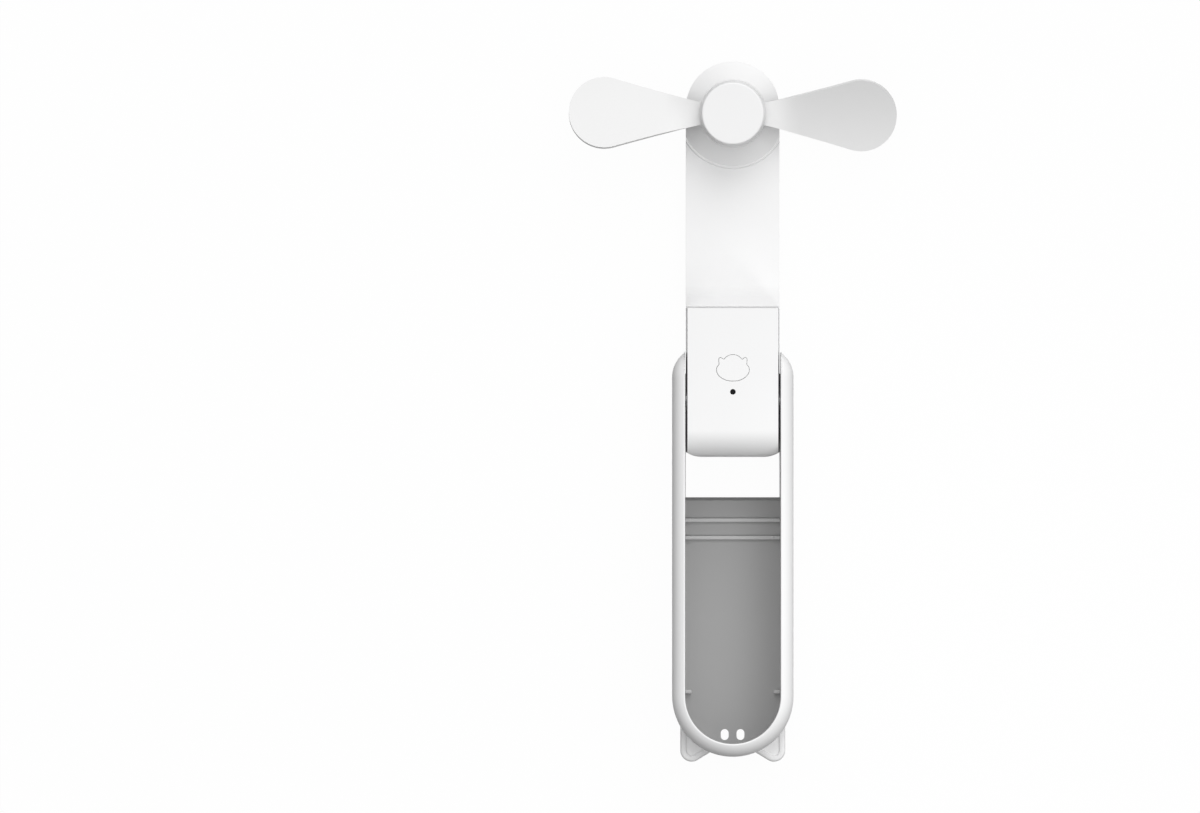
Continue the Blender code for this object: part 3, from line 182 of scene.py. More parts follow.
class ArmSizes(bpy.types.PropertyGroup):
    wall: length("Wall", 0.0015, "Wall of the arm's shells")
    panel: length("Panel", 0.0080, "Thickness of the thin panel")
    block: length("Block", 0.0528, "Length of the thick battery block")
    draft: length("Draft", 0.00052, "How far each side of the block leans in")
    valley: length("Valley", 0.0060, "Length of the valley beside the block")
    valley_depth: length("Valley depth", 0.0016, "Depth of the valley beside the block")
    seam: length("Seam", 0.0006, "Width of the seam at the block's foot")
    easing: length("Easing", 0.0005, "Easing of the arm's outer edges")
    dome_base: length("Dome base", 0.0192, "Radius of the motor dome's foot")
    dome_top: length("Dome top", 0.0122, "Radius of the dome's flat top")
    dome_height: length("Dome height", 0.0050, "Height of the dome over the panel")
    bead: length("Bead", 0.0006, "Radius of the bead round the dome")
    shaft_hole: length("Shaft hole", 0.0025, "Radius of the shaft's hole")
    pin_hole: length("Pin hole", 0.0021, "Radius of a hinge pin's hole")
    washer_recess: length("Washer recess", 0.0040, "Radius of a spring washer's recess")
    washer_depth: length("Washer depth", 0.0008, "Depth of a spring washer's recess")
    screw_hole: length("Screw hole", 0.0011, "Radius of a motor screw's hole")
    screw_place: length("Screw place", 0.0070, "Distance of a motor screw from the shaft")


class SmallPartSizes(bpy.types.PropertyGroup):
    button_width: length("Button width", 0.01147, "Width of the power button")
    button_length: length("Button length", 0.00925, "Length of the power button")
    button_place: length("Button place", 0.0121, "Distance from the hinge to the button")
    button_gap: length("Button gap", 0.00014, "Gap round the power button")
    window_radius: length("Window radius", 0.0009, "Radius of the indicator's window")
    gap: length("Fit gap", 0.0002, "Gap between a small piece and its hole")
    usb_width: length("Socket width", 0.0132, "Width of the output socket")
    usb_height: length("Socket height", 0.0058, "Height of the output socket")
    usb_contact: length("Socket contact", 0.0010, "Width of a contact in the output socket")
    charge_width: length("Port width", 0.0090, "Width of the charging port")
    charge_height: length("Port height", 0.0032, "Height of the charging port")
    charge_contact: length("Port contact", 0.0003, "Width of a contact in the charging port")
    metal: length("Metal", 0.0003, "Thickness of the sockets' sheet metal")
    lens_edge: length("Lens edge", 0.00045, "Radius of the lamp lens's edge")


class FanSizes(bpy.types.PropertyGroup):
    hub_top: length("Hub top", 0.0110, "Radius of the hub cap's flat top")
    hub_easing: length("Hub easing", 0.0006, "Easing of the hub cap's upper edge")
    hub_wall: length("Hub wall", 0.0015, "Wall of the hub cap")
    boss: length("Boss", 0.0021, "Radius of a boss in the hub cap")
    boss_hole: length("Boss hole", 0.0028, "Depth of the hole in a boss")
    lobe: length("Lobe", 0.0126, "Radius of a blade's round end")
    root: length("Root", 0.0029, "Half width of a blade at its pin")
    edge: angle("Edge angle", 16.2, "Angle of a blade's straight edges")
    pitch: angle("Pitch", 21, "Angle between a blade and the plane it spins in")
    pitch_start: length("Pitch start", 0.0060, "Distance from the pin where the blade begins to turn")
    pitch_ramp: length("Pitch ramp", 0.0122, "Distance over which the blade turns to its pitch")
    right_turn: angle("Right turn", 0.9, "Clockwise turn of the right blade on its pin")
    left_turn: angle("Left turn", 0.5, "Clockwise turn of the left blade on its pin")
    thickness: length("Blade thickness", 0.0011, "Thickness of a blade")
    camber: length("Camber", 0.0009, "Hollow of a blade across its widest part")
    knuckle: length("Knuckle", 0.0034, "Radius of a blade's ring round its pin")
    knuckle_height: length("Knuckle height", 0.0029, "Height of a blade's ring")
    pin_hole: length("Pin hole", 0.0013, "Radius of a pin's hole")


class Colours(bpy.types.PropertyGroup):
    white: colour("White", (0.89, 0.89, 0.892), "The shells' white")
    soft_white: colour("Soft white", (0.83, 0.83, 0.83), "The blades' white")
    # Painted shade in part: the liner's mid grey is its own darker plastic and also carries the shade of the deep
    # bay.
    grey: colour("Grey", (0.43, 0.43, 0.43), "The bay liner's grey")
    # Painted highlight: a paler grey on the liner's ribs that stands in for light catching their tops.
    rib_highlight_grey: colour("Rib highlight grey", (0.62, 0.62, 0.62), "The paler grey of the liner's ribs")
    black: colour("Black", (0.012, 0.012, 0.013), "Black plastic")
    steel: colour("Steel", (0.62, 0.62, 0.63), "Plated steel")
    brass: colour("Brass", (0.72, 0.50, 0.20), "Turned brass")
    copper: colour("Copper", (0.62, 0.27, 0.10), "Enamelled copper wire")
    board: colour("Board", (0.02, 0.14, 0.06), "The circuit boards' green")
    pads: colour("Pads", (0.70, 0.55, 0.25), "The circuit boards' bare pads")
    foil: colour("Foil", (0.70, 0.71, 0.73), "The battery cells' foil")
    foam: colour("Foam", (0.05, 0.05, 0.06), "The pad under the cells")
    clear: colour("Clear", (0.80, 0.86, 0.90), "The lamp's lens")
    red: colour("Red", (0.50, 0.03, 0.02), "Red wire insulation")


class StageSettings(bpy.types.PropertyGroup):
    floor: colour("Floor", (0.80, 0.80, 0.80), "The floor's own colour")
    bounce: colour("Bounce", (0.09, 0.09, 0.09), "The floor's colour for the light that it throws back")
    whiteness: share("Whiteness", 0.97, "How far the floor is lifted to white for the camera")
    sky: share("Sky", 1.15, "Strength of the soft light overhead")
    sky_lean: FloatVectorProperty(
        name="Sky lean", description="Where the sky is brightest", default=(0.14, 0.36, 1.0), subtype="XYZ"
    )
    key_power: power("Key lamp", 19.0, "Power of the far lamp")
    fill_power: power("Fill lamp", 0.06, "Power of the near lamp")
    frame_width: length("Frame width", 0.4264, "Width that the camera takes in at the object")
    frame_x: length("Frame centre X", -0.0471, "Centre of the camera's view, across")
    frame_y: length("Frame centre Y", 0.00175, "Centre of the camera's view, along")
    distance: length("Distance", 12.0, "Distance of the camera from the floor")


class FanLooks(bpy.types.PropertyGroup):
    body: PointerProperty(type=BodySizes, name="Body", description="Sizes of the body")
    ears: PointerProperty(type=EarSizes, name="Ears", description="Sizes of the ears")
    liner: PointerProperty(type=LinerSizes, name="Liner", description="Sizes of the bay's liner")
    arm: PointerProperty(type=ArmSizes, name="Arm", description="Sizes of the arm")
    small: PointerProperty(type=SmallPartSizes, name="Small parts", description="Sizes of the small parts")
    fan: PointerProperty(type=FanSizes, name="Fan", description="Sizes of the hub and the blades")
    colours: PointerProperty(type=Colours, name="Colours", description="Colours of the finishes")
    stage: PointerProperty(type=StageSettings, name="Stage", description="Floor, lamps and camera")


# Modelling helpers


def alone(piece):
    bpy.ops.object.select_all(action="DESELECT")
    piece.select_set(True)
    bpy.context.view_layer.objects.active = piece


@contextmanager
def editing(piece):
    """Edit mode, with all of the piece selected."""
    alone(piece)
    bpy.ops.object.mode_set(mode="EDIT")
    bpy.ops.mesh.select_all(action="SELECT")
    yield
    bpy.ops.object.mode_set(mode="OBJECT")


def settle(piece):
    alone(piece)
    bpy.ops.object.transform_apply(location=True, rotation=True, scale=True)
    return piece


def primitive(operator, name, **settings):
    bpy.ops.object.select_all(action="DESELECT")
    operator(**settings)
    piece = bpy.context.active_object
    piece.name = name
    piece.data.name = name
    return settle(piece)


def copy_of(piece, name):
    made = piece.copy()
    made.data = piece.data.copy()
    made.name = name
    bpy.context.scene.collection.objects.link(made)
    return made


def box(name, low, high):
    low, high = Vector(low), Vector(high)
    return primitive(
        bpy.ops.mesh.primitive_cube_add, name, size=1, location=(low + high) / 2, scale=high - low
    )


def rod(name, start, end, radius, end_radius=None, sides=48):
    """A cylinder, or a cone with an end radius, from one point to another."""
    start, end = Vector(start), Vector(end)
    return primitive(
        bpy.ops.mesh.primitive_cone_add,
        name,
        vertices=sides,
        radius1=radius,
        radius2=radius if end_radius is None else end_radius,
        depth=(end - start).length,
        location=(start + end) / 2,
        rotation=(end - start).to_track_quat("Z", "Y").to_euler(),
    )


def upright_rod(name, place, low, high, radius, end_radius=None, sides=48):
    return rod(name, (place[0], place[1], low), (place[0], place[1], high), radius, end_radius, sides)


def choose(piece, kind, test):
    """In edit mode, selects the vertices, edges or faces that pass a test."""
    bpy.ops.mesh.select_mode(type=kind)
    bpy.ops.mesh.select_all(action="DESELECT")
    mesh = bmesh.from_edit_mesh(piece.data)
    for item in {"VERT": mesh.verts, "EDGE": mesh.edges, "FACE": mesh.faces}[kind]:
        if test(item):
            item.select_set(True)
    bmesh.update_edit_mesh(piece.data)


def middle(item):
    return sum((corner.co for corner in item.verts), Vector()) / len(item.verts)


def near(first, second):
    return abs(first - second) < TINY


def runs_along(axis, place):
    """A test for the edges that run along an axis at a place, given as a number or None on each axis."""

    def test(edge):
        along = edge.verts[1].co - edge.verts[0].co
        at = middle(edge)
        straight = abs(along[axis]) >= along.length * 0.999
        return straight and all(want is None or near(at[i], want) for i, want in enumerate(place))

    return test


def lies_at(axis, place):
    """A test for the edges or faces that lie square to an axis at a place along it."""
    return lambda item: all(near(corner.co[axis], place) for corner in item.verts)


def bevel(piece, test, width, segments):
    with editing(piece):
        choose(piece, "EDGE", test)
        bpy.ops.mesh.bevel(offset=width, segments=segments, profile=0.5, affect="EDGES", clamp_overlap=False)
    return weld(piece)


def weld(piece):
    """Merges corners that lie together, closes the pinholes this leaves and turns all faces outwards."""
    with editing(piece):
        bpy.ops.mesh.remove_doubles(threshold=TINY / 2)
        bpy.ops.mesh.fill_holes(sides=4)
        bpy.ops.mesh.normals_make_consistent(inside=False)
    return piece


def modify(piece, kind, **settings):
    """Adds a modifier, sets it and applies it."""
    step = piece.modifiers.new(kind.lower(), kind)
    for key, value in settings.items():
        setattr(step, key, value)
    alone(piece)
    bpy.ops.object.modifier_apply(modifier=step.name)
    return piece


def combine(piece, operation, *others):
    for other in others:
        modify(piece, "BOOLEAN", operation=operation, object=other, solver="EXACT")
        bpy.data.objects.remove(other, do_unlink=True)
    return weld(piece)


def cut(piece, *others):
    return combine(piece, "DIFFERENCE", *others)


def join(piece, *others):
    return combine(piece, "UNION", *others)


def keep_inside(piece, *others):
    return combine(piece, "INTERSECT", *others)


def ease(piece, width, segments, sharpness):
    """Rounds every edge sharper than an angle in degrees."""
    settings = {"limit_method": "ANGLE", "angle_limit": math.radians(sharpness), "use_clamp_overlap": True}
    return modify(piece, "BEVEL", width=width, segments=segments, harden_normals=False, **settings)


def smooth(piece, sharpness=30):
    alone(piece)
    bpy.ops.object.shade_smooth_by_angle(angle=math.radians(sharpness))
    return modify(piece, "WEIGHTED_NORMAL", keep_sharp=True)


def extrude_up(height):
    """In edit mode, extrudes the chosen faces along Z."""
    bpy.ops.mesh.extrude_region_move(TRANSFORM_OT_translate={"value": (0, 0, height)})


def prism(name, points, low, high):
    """An outline in XY, filled and extruded along Z."""
    add = bpy.ops.mesh.primitive_circle_add
    piece = primitive(add, name, vertices=len(points), radius=1, fill_type="NGON")
    for corner, (x, y) in zip(piece.data.vertices, points):
        corner.co = (x, y, low)
    with editing(piece):
        extrude_up(high - low)
        bpy.ops.mesh.select_all(action="SELECT")
        bpy.ops.mesh.normals_make_consistent(inside=False)
    return piece


def arc(centre, radius, start, end, steps):
    """Points on an arc between two angles in degrees, both ends included."""
    angles = [math.radians(start + (end - start) * i / steps) for i in range(steps + 1)]
    return [(centre[0] + radius * math.cos(a), centre[1] + radius * math.sin(a)) for a in angles]


def hull(circles, steps):
    """The outline round (centre, radius) circles that are listed anticlockwise."""
    normals = []
    for (centre, radius), (after, after_radius) in zip(circles, circles[1:] + circles[:1]):
        along = after - centre
        turn = math.acos((radius - after_radius) / along.length)
        normals.append(math.degrees(math.atan2(along.y, along.x) - turn))
    points = []
    for i, (centre, radius) in enumerate(circles):
        turn = (normals[i] - normals[i - 1]) % 360
        points += arc(centre, radius, normals[i - 1], normals[i - 1] + turn, steps)
    return points


def dress(piece, body, slot, *nodes, finish=None):
    """Gives a piece its body and the slot's or another finish, and hides the solids that it stands for."""
    piece.data.materials.clear()
    piece.data.materials.append(FINISHES[finish or slot])
    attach(piece, body)
    if nodes:
        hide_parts(*nodes)


# Shader nodes


class Value:
    """A shader socket that plain arithmetic adds Math nodes to."""

    def __init__(self, nodes, socket):
        self.nodes = nodes
        self.socket = socket

    def maths(self, operation, first, second):
        return self.nodes.node("ShaderNodeMath", {"operation": operation}, {0: first, 1: second})

    def __add__(self, other):
        return self.maths("ADD", self, other)

    def __mul__(self, other):
        return self.maths("MULTIPLY", self, other)

    def __sub__(self, other):
        return self.maths("SUBTRACT", self, other)

    def __rsub__(self, other):
        return self.maths("SUBTRACT", other, self)

    def __gt__(self, other):
        return self.maths("GREATER_THAN", self, other)

    __radd__ = __add__
    __rmul__ = __mul__


class Nodes:
    """A node tree under construction."""

    def __init__(self, tree):
        self.tree = tree

    def node(self, kind, settings=None, inputs=None, output=0):
        made = self.tree.nodes.new(kind)
        for key, value in (settings or {}).items():
            setattr(made, key, value)
        for key, value in (inputs or {}).items():
            self.feed(made.inputs[key], value)
        return Value(self, made.outputs[output]) if made.outputs else None

    def feed(self, socket, value):
        if isinstance(value, Value):
            self.tree.links.new(value.socket, socket)
        else:
            socket.default_value = value

    def mixed_colour(self, factor, first, second):
        inputs = {"Factor": factor, MIX_FIRST: first, MIX_SECOND: second}
        return self.node("ShaderNodeMix", {"data_type": "RGBA"}, inputs, output=MIX_RESULT)

    def mixed_shader(self, factor, first, second):
        return self.node("ShaderNodeMixShader", None, {0: factor, 1: first, 2: second})


class Finish(Nodes):
    """A material under construction: its Principled shader and the nodes that feed it."""

    def __init__(self, name, base, roughness, metallic=0.0):
        self.material = bpy.data.materials.new(name)
        self.material.use_nodes = True
        super().__init__(self.material.node_tree)
        self.base = (*base, 1)
        self.set("Base Color", self.base)
        self.set("Roughness", roughness)
        self.set("Metallic", metallic)
        self.place = self.node("ShaderNodeTexCoord", output="Object")

    def set(self, name, value):
        self.feed(self.tree.nodes["Principled BSDF"].inputs[name], value)

    def stretched(self, scale):
        return self.node("ShaderNodeMapping", None, {"Vector": self.place, "Scale": scale})

    def noise(self, scale, detail, place=None):
        inputs = {"Vector": place or self.place, "Scale": scale, "Detail": detail}
        return self.node("ShaderNodeTexNoise", None, inputs, output="Fac")

    def cells(self, scale, feature="F1"):
        inputs = {"Vector": self.place, "Scale": scale}
        return self.node("ShaderNodeTexVoronoi", {"feature": feature}, inputs, output="Distance")

    def shades(self, mask, dark, light):
        """The base colour, mixed between two brightnesses by a mask."""
        ends = [(*(min(1, part * amount) for part in self.base[:3]), 1) for amount in (dark, light)]
        self.set("Base Color", self.mixed_colour(mask, *ends))

    def tint(self, mask, other):
        """The colour so far, with another colour where the mask is 1."""
        links = self.tree.nodes["Principled BSDF"].inputs["Base Color"].links
        under = Value(self, links[0].from_socket) if links else self.base
        self.set("Base Color", self.mixed_colour(mask, under, (*other, 1)))

    def roughness(self, mask, low, high):
        self.set("Roughness", mask * (high - low) + low)

    def bump(self, height, depth):
        inputs = {"Height": height, "Distance": depth, "Strength": 1.0}
        self.set("Normal", self.node("ShaderNodeBump", None, inputs))

    def darker_where_lower(self, mask, shades, roughness, depth):
        """Lets one mask change the colour, the roughness and the height, so that the colour is darker where the
        surface lies lower.
        """
        self.shades(mask, *shades)
        self.roughness(mask, *roughness)
        self.bump(mask, depth)
        return self


def moulded(name, base, roughness, grain, specular):
    """Injection-moulded plastic: a fine spark-eroded grain over a faint flow of the melt."""
    finish = Finish(name, base, roughness)
    grains = finish.noise(5200.0, 2.0)
    flow = finish.noise(45.0, 2.0)
    finish.shades(flow * 0.7 + grains * 0.3, 0.985, 1.012)
    finish.roughness(grains * 0.6 + flow * 0.4, roughness - 0.05, roughness + 0.07)
    finish.bump(grains + flow * 1.5, grain)
    finish.set("Specular IOR Level", specular)
    return finish


def liner_finish(colours, liner):
    """Moulded grey, with a painted highlight: the ribs' tops get a paler grey as if light caught them."""
    finish = moulded("grey_moulding", colours.grey, 0.52, 0.000016, 0.15)
    foot = LINER_LOW.z + liner.thickness + liner.rib_height / 4
    height = finish.node("ShaderNodeSeparateXYZ", None, {"Vector": finish.place}, output="Z")
    # Painted highlight: the ribs' tops between these heights are coloured paler.
    ribs = (height > foot) * (1 - (height > foot + liner.rib_height + liner.rib_end))
    finish.tint(ribs, colours.rib_highlight_grey)
    return finish


def steel_finish(colours):
    """Drawn sheet with fine lengthwise lines and a little grime."""
    finish = Finish("plated_steel", colours.steel, 0.28, 1.0)
    lines = finish.noise(900.0, 4.0, finish.stretched((6.0, 0.25, 6.0)))
    grime = finish.noise(160.0, 3.0)
    finish.shades(grime, 0.82, 1.06)
    finish.roughness(lines * 0.6 + grime * 0.4, 0.18, 0.42)
    finish.bump(lines, 0.000006)
    return finish


def brass_finish(colours):
    """Turned brass: rings round the axis and a warm tarnish in patches."""
    finish = Finish("turned_brass", colours.brass, 0.32, 1.0)
    rings = finish.noise(2600.0, 1.0, finish.stretched((0.05, 0.05, 1.0)))
    tarnish = finish.noise(260.0, 4.0)
    finish.shades(tarnish, 0.72, 1.08)
    finish.roughness(tarnish, 0.22, 0.46)
    finish.bump(rings, 0.000005)
    return finish


def copper_finish(colours):
    """Windings: close bands of round wire under enamel."""
    finish = Finish("copper_windings", colours.copper, 0.35, 0.9)
    settings = {"wave_type": "BANDS", "bands_direction": "Z"}
    inputs = {"Vector": finish.place, "Scale": 900.0, "Distortion": 0.6}
    wires = finish.node("ShaderNodeTexWave", settings, inputs, output="Fac")
    # The bands' colour is painted shade: darker in the grooves between the wires and paler on their crowns.
    return finish.darker_where_lower(wires, (0.55, 1.15), (0.25, 0.5), 0.00008)


def board_finish(colours):
    """Solder resist over tracks, with bare pads in places."""
    finish = Finish("circuit_board", colours.board, 0.42)
    tracks = finish.cells(700.0, "DISTANCE_TO_EDGE") > 0.08
    pads = finish.cells(420.0) > 0.72
    finish.tint(pads, colours.pads)
    finish.roughness(tracks, 0.30, 0.48)
    finish.bump(tracks * 0.5 + pads, 0.00003)
    return finish


def foil_finish(colours):
    """Pouch foil: shallow creases and a satin lacquer."""
    finish = Finish("pouch_foil", colours.foil, 0.32, 0.7)
    return finish.darker_where_lower(finish.noise(130.0, 5.0), (0.86, 1.08), (0.22, 0.44), 0.00012)


def foam_finish(colours):
    """Closed-cell foam with open pores on its cut faces."""
    finish = Finish("pad_foam", colours.foam, 0.92)
    # The pores are painted shade: darker where the surface dips into them.
    return finish.darker_where_lower(finish.cells(1500.0), (0.5, 1.3), (0.85, 0.98), 0.0001)


def clear_finish(colours):
    """Clear plastic with the faint swirl of a small moulding."""
    finish = Finish("clear_lens", colours.clear, 0.08)
    finish.set("Transmission Weight", 0.75)
    return finish.darker_where_lower(finish.noise(500.0, 3.0), (0.96, 1.02), (0.04, 0.14), 0.00001)


def wire_finish(name, base):
    """Extruded insulation: a waxy skin with slight lengthwise drag marks."""
    finish = Finish(name, base, 0.45)
    drag = finish.noise(1400.0, 2.0, finish.stretched((1.0, 0.1, 1.0)))
    return finish.darker_where_lower(drag, (0.85, 1.12), (0.36, 0.56), 0.00001)


FINISHES = {}


def make_finishes(looks):
    colours = looks.colours
    made = {
        "white_shell": moulded("white_moulding", colours.white, 0.40, 0.000012, 0.06),
        "polished": moulded("smooth_white_moulding", colours.white, 0.30, 0.000005, 0.12),
        "soft_white": moulded("soft_blade_plastic", colours.soft_white, 0.50, 0.000008, 0.08),
        "grey_liner": liner_finish(colours, looks.liner),
        "black_plastic": moulded("black_moulding", colours.black, 0.28, 0.000004, 0.05),
        "steel": steel_finish(colours),
        "brass": brass_finish(colours),
        "copper_winding": copper_finish(colours),
        "circuit_board": board_finish(colours),
        "cell_foil": foil_finish(colours),
        "foam": foam_finish(colours),
        "clear_lens": clear_finish(colours),
        "red_wire": wire_finish("red_insulation", colours.red),
        "black_wire": wire_finish("black_insulation", colours.black),
    }
    FINISHES.update((slot, finish.material) for slot, finish in made.items())


# Body


class Body:
    """Places on the body that follow from the frame and the body's sizes."""

    def __init__(self, looks):
        sizes = looks.body
        self.bay_half = HALF_WIDTH - sizes.rail
        self.sweep = math.hypot(HOUSING_LOW.y + looks.arm.block - PIVOT.y, PIVOT.z) + sizes.sweep_gap
        self.bay_end = LINER_LOW.y - LINER_GAP
        self.centre_y = self.bay_end + self.bay_half
        self.end = self.centre_y - HALF_WIDTH
        self.rim_end = HINGE_END - sizes.end_fillet
        self.window_end = PIVOT.y - math.sqrt(self.sweep**2 - (PIVOT.z - sizes.sweep_gap) ** 2)

    def on_wall(self, corner):
        """Whether a corner lies on the bay's upright wall."""
        return near(math.hypot(corner.co.x, min(0, corner.co.y - self.centre_y)), self.bay_half)

    def on_rim(self, edge, low_z):
        """Whether an edge bounds the bay's wall outwards, above a height."""
        if not all(self.on_wall(corner) and corner.co.z > low_z - TINY for corner in edge.verts):
            return False
        return len(edge.link_faces) == 2 and edge.is_convex and edge.calc_face_angle() > math.radians(45)


def upright_block(name, half, low_y, high_y, low_z, high_z, low_radius, high_radius, segments=48):
    """A block with round upright corners, of one radius at its low end and another at its high end."""
    piece = box(name, (-half, low_y, low_z), (half, high_y, high_z))
    for radius, y in ((low_radius, low_y), (high_radius, high_y)):
        if radius:
            bevel(piece, runs_along(2, (None, y, None)), min(radius, half), segments)
    return piece


def body_blank(name, place, sizes):
    """The body's outline with its rounded edges and its filleted hinge end."""
    blank = upright_block(name, HALF_WIDTH, place.end, HINGE_END, 0, DEPTH, HALF_WIDTH, sizes.corner)
    bevel(blank, lies_at(2, 0), sizes.rounding, 14)
    bevel(blank, lies_at(2, DEPTH), sizes.crown, 14)
    reach = HALF_WIDTH + OVERRUN
    side = box("hinge_end", (-reach, place.end - OVERRUN, 0), (reach, HINGE_END, DEPTH))
    bevel(side, runs_along(0, (None, HINGE_END, None)), sizes.end_fillet, 24)
    return keep_inside(blank, side)


def bay_prism(name, half, place, high_y, low, high):
    """A prism with the bay's round end, of a given half width."""
    return upright_block(name, half, place.centre_y - half, high_y, low, high, half, 0, 64)


def hinge_rod(reach, radius, sides=48):
    """A rod on the hinge's axis, as long on both sides of the middle."""
    return rod("hinge_bore", (-reach, PIVOT.y, PIVOT.z), (reach, PIVOT.y, PIVOT.z), radius, sides=sides)


def lanyard_holes(place, sizes, top):
    straight = (sizes.hole_length - sizes.hole_width) / 2
    y = place.bay_end + sizes.hole_place
    radius = sizes.hole_width / 2
    holes = []
    for x in (-sizes.hole_pitch / 2, sizes.hole_pitch / 2):
        points = arc((x, y + straight), radius, 0, 180, 16) + arc((x, y - straight), radius, 180, 360, 16)
        holes.append(prism("lanyard_hole", points, -OVERRUN, top + OVERRUN))
    return holes


def ear(side, place, sizes):
    """A rounded triangle with a shallow hollow in its front; the side is 1 on the right."""
    low, high = PIVOT.z - sizes.thickness / 2, PIVOT.z + sizes.thickness / 2
    circles = (
        (Vector((sizes.tip_x, SHELL_LOW.y + sizes.tip_radius)), sizes.tip_radius),
        (Vector((sizes.outer_x, place.end + sizes.outer_y)), sizes.root_radius),
        (Vector((sizes.inner_x, place.end + sizes.inner_y)), sizes.root_radius),
    )
    points = [(x * side, y) for x, y in hull(circles, 20)]
    piece = weld(prism("ear", points[::side], low, high))
    bevel(piece, lambda edge: near(edge.verts[0].co.z, edge.verts[1].co.z), sizes.rounding, 5)
    with editing(piece):
        choose(piece, "FACE", lies_at(2, high))
        bpy.ops.mesh.inset(thickness=sizes.rim - sizes.rounding, depth=0)
        for sink in (0.15, 0.7, 0.15):
            bpy.ops.mesh.inset(thickness=sizes.hollow * 0.4, depth=-sizes.hollow * sink)
    return piece


def build_body(looks):
    sizes = looks.body
    place = Body(looks)
    shell = body_blank("body_moulding", place, sizes)
    bay = bay_prism("bay", place.bay_half, place, HINGE_END + OVERRUN, -OVERRUN, DEPTH + OVERRUN)
    back = bay_prism("back", place.bay_half + OVERRUN, place, PIVOT.y, -OVERRUN * 2, sizes.back)
    nosing_radius = place.sweep + looks.liner.nosing + sizes.sweep_gap / 2
    cut(bay, cut(back, hinge_rod(place.bay_half + OVERRUN * 2, nosing_radius, 256)))
    cut(shell, bay)
    bevel(shell, lambda edge: place.on_rim(edge, sizes.end_fillet), sizes.rim, 4)
    for side in (-1, 1):
        low_x, high_x = sorted((side * (place.bay_half - sizes.lip), side * (place.bay_half + sizes.lip)))
        low, high = (low_x, place.window_end, TINY * 10), (high_x, place.rim_end, sizes.lip_height)
        join(shell, box("lip", low, high))
        root = bay_prism("ear_root", place.bay_half + sizes.lining * 2, place, PIVOT.y, 0, DEPTH)
        join(shell, cut(ear(side, place, looks.ears), root))
    recess_top = DEPTH - looks.liner.rim_below + sizes.lining
    wall = place.bay_half + sizes.lining
    cut(shell, bay_prism("rim_recess", wall, place, place.rim_end, sizes.back, recess_top))
    cut(shell, *lanyard_holes(place, sizes, sizes.back))
    cut(shell, hinge_rod(place.bay_half + sizes.socket_depth, sizes.socket_radius))
    smooth(shell, 35)
    dress(shell, "body", "white_shell", "body_shell")


def rib(sizes, y, half, top, ends_only=False):
    """A low bar across the bay's floor with slightly taller ends, or the two ends alone."""
    low, high = y - sizes.rib_width / 2, y + sizes.rib_width / 2
    foot = top - sizes.rib_height - sizes.thickness / 2
    bar = box("rib", (-half, low, foot), (half, high, top + sizes.rib_end))
    middle_half = half - sizes.side_rib
    bottom = foot - OVERRUN if ends_only else top
    gap_low = (-middle_half, low - OVERRUN, bottom)
    gap = box("rib_middle", gap_low, (middle_half, high + OVERRUN, top + OVERRUN))
    return ease(cut(bar, gap), sizes.easing, 4, 50)


def build_liner(looks):
    """The grey tub in the bay: a floor with ribs, a thin upright rim and an edge towards the hinge."""
    sizes = looks.liner
    place = Body(looks)
    low, high = LINER_LOW.z, LINER_LOW.z + sizes.thickness
    top = high + sizes.rib_height
    outer = place.bay_half + looks.body.lining - TINY * 2
    inner = outer - sizes.wall
    tub = bay_prism("bay_tub", outer, place, place.rim_end - TINY * 2, low, DEPTH - sizes.rim_below)
    cut(tub, bay_prism("tub_hollow", inner, place, place.rim_end + OVERRUN, high, DEPTH))
    nosing_low = (-inner, place.window_end - OVERRUN * 2, looks.body.sweep_gap)
    nosing = box("nosing", nosing_low, (inner, place.window_end, high))
    keep_inside(nosing, hinge_rod(outer, place.sweep + sizes.nosing, 256))
    cut(tub, hinge_rod(inner, place.sweep, 256))
    join(tub, cut(nosing, hinge_rod(outer, place.sweep, 256)))
    ribs, grooves = [], []
    for number in range(2):
        y = PIVOT.y - sizes.first_rib - sizes.rib_pitch * number
        ribs.append(rib(sizes, y, inner + TINY, top))
        edge = y + sizes.rib_width / 2
        groove_low = (-inner, edge - TINY, high - sizes.rib_groove)
        grooves.append(box("groove", groove_low, (inner, edge + sizes.rib_groove, high + OVERRUN)))
    ribs.append(rib(sizes, place.centre_y + sizes.side_rib_place, inner + TINY, top, True))
    cut(tub, *grooves)
    join(tub, *ribs)
    cut(tub, *lanyard_holes(place, looks.body, high))
    cut(tub, hinge_rod(outer + OVERRUN, looks.body.socket_radius + LINER_GAP))
    smooth(tub)
    dress(tub, "body", "grey_liner", "bay_liner")


# Arm


def dome(name, inset, sizes):
    """The motor dome's cone, drawn in square to its surface."""
    slope = (sizes.dome_base - sizes.dome_top) / sizes.dome_height
    foot = sizes.dome_base + slope * (sizes.panel - inset) - inset * math.hypot(1, slope)
    height = sizes.panel + sizes.dome_height - inset * 2
    return upright_rod(name, (0, ROTOR.y), inset, inset + height, foot, foot - slope * height, 160)


def drafted_block(name, half, low_y, high_y, sizes):
    """A block whose sides are upright as high as the panel and lean in above it."""
    piece = box(name, (-half, low_y, -OVERRUN), (half, high_y, sizes.panel))
    with editing(piece):
        choose(piece, "FACE", lies_at(2, sizes.panel))
        extrude_up(DEPTH - sizes.panel)
        bpy.ops.transform.resize(value=(1 - sizes.draft / half, 1, 1))
        extrude_up(OVERRUN)
    return piece


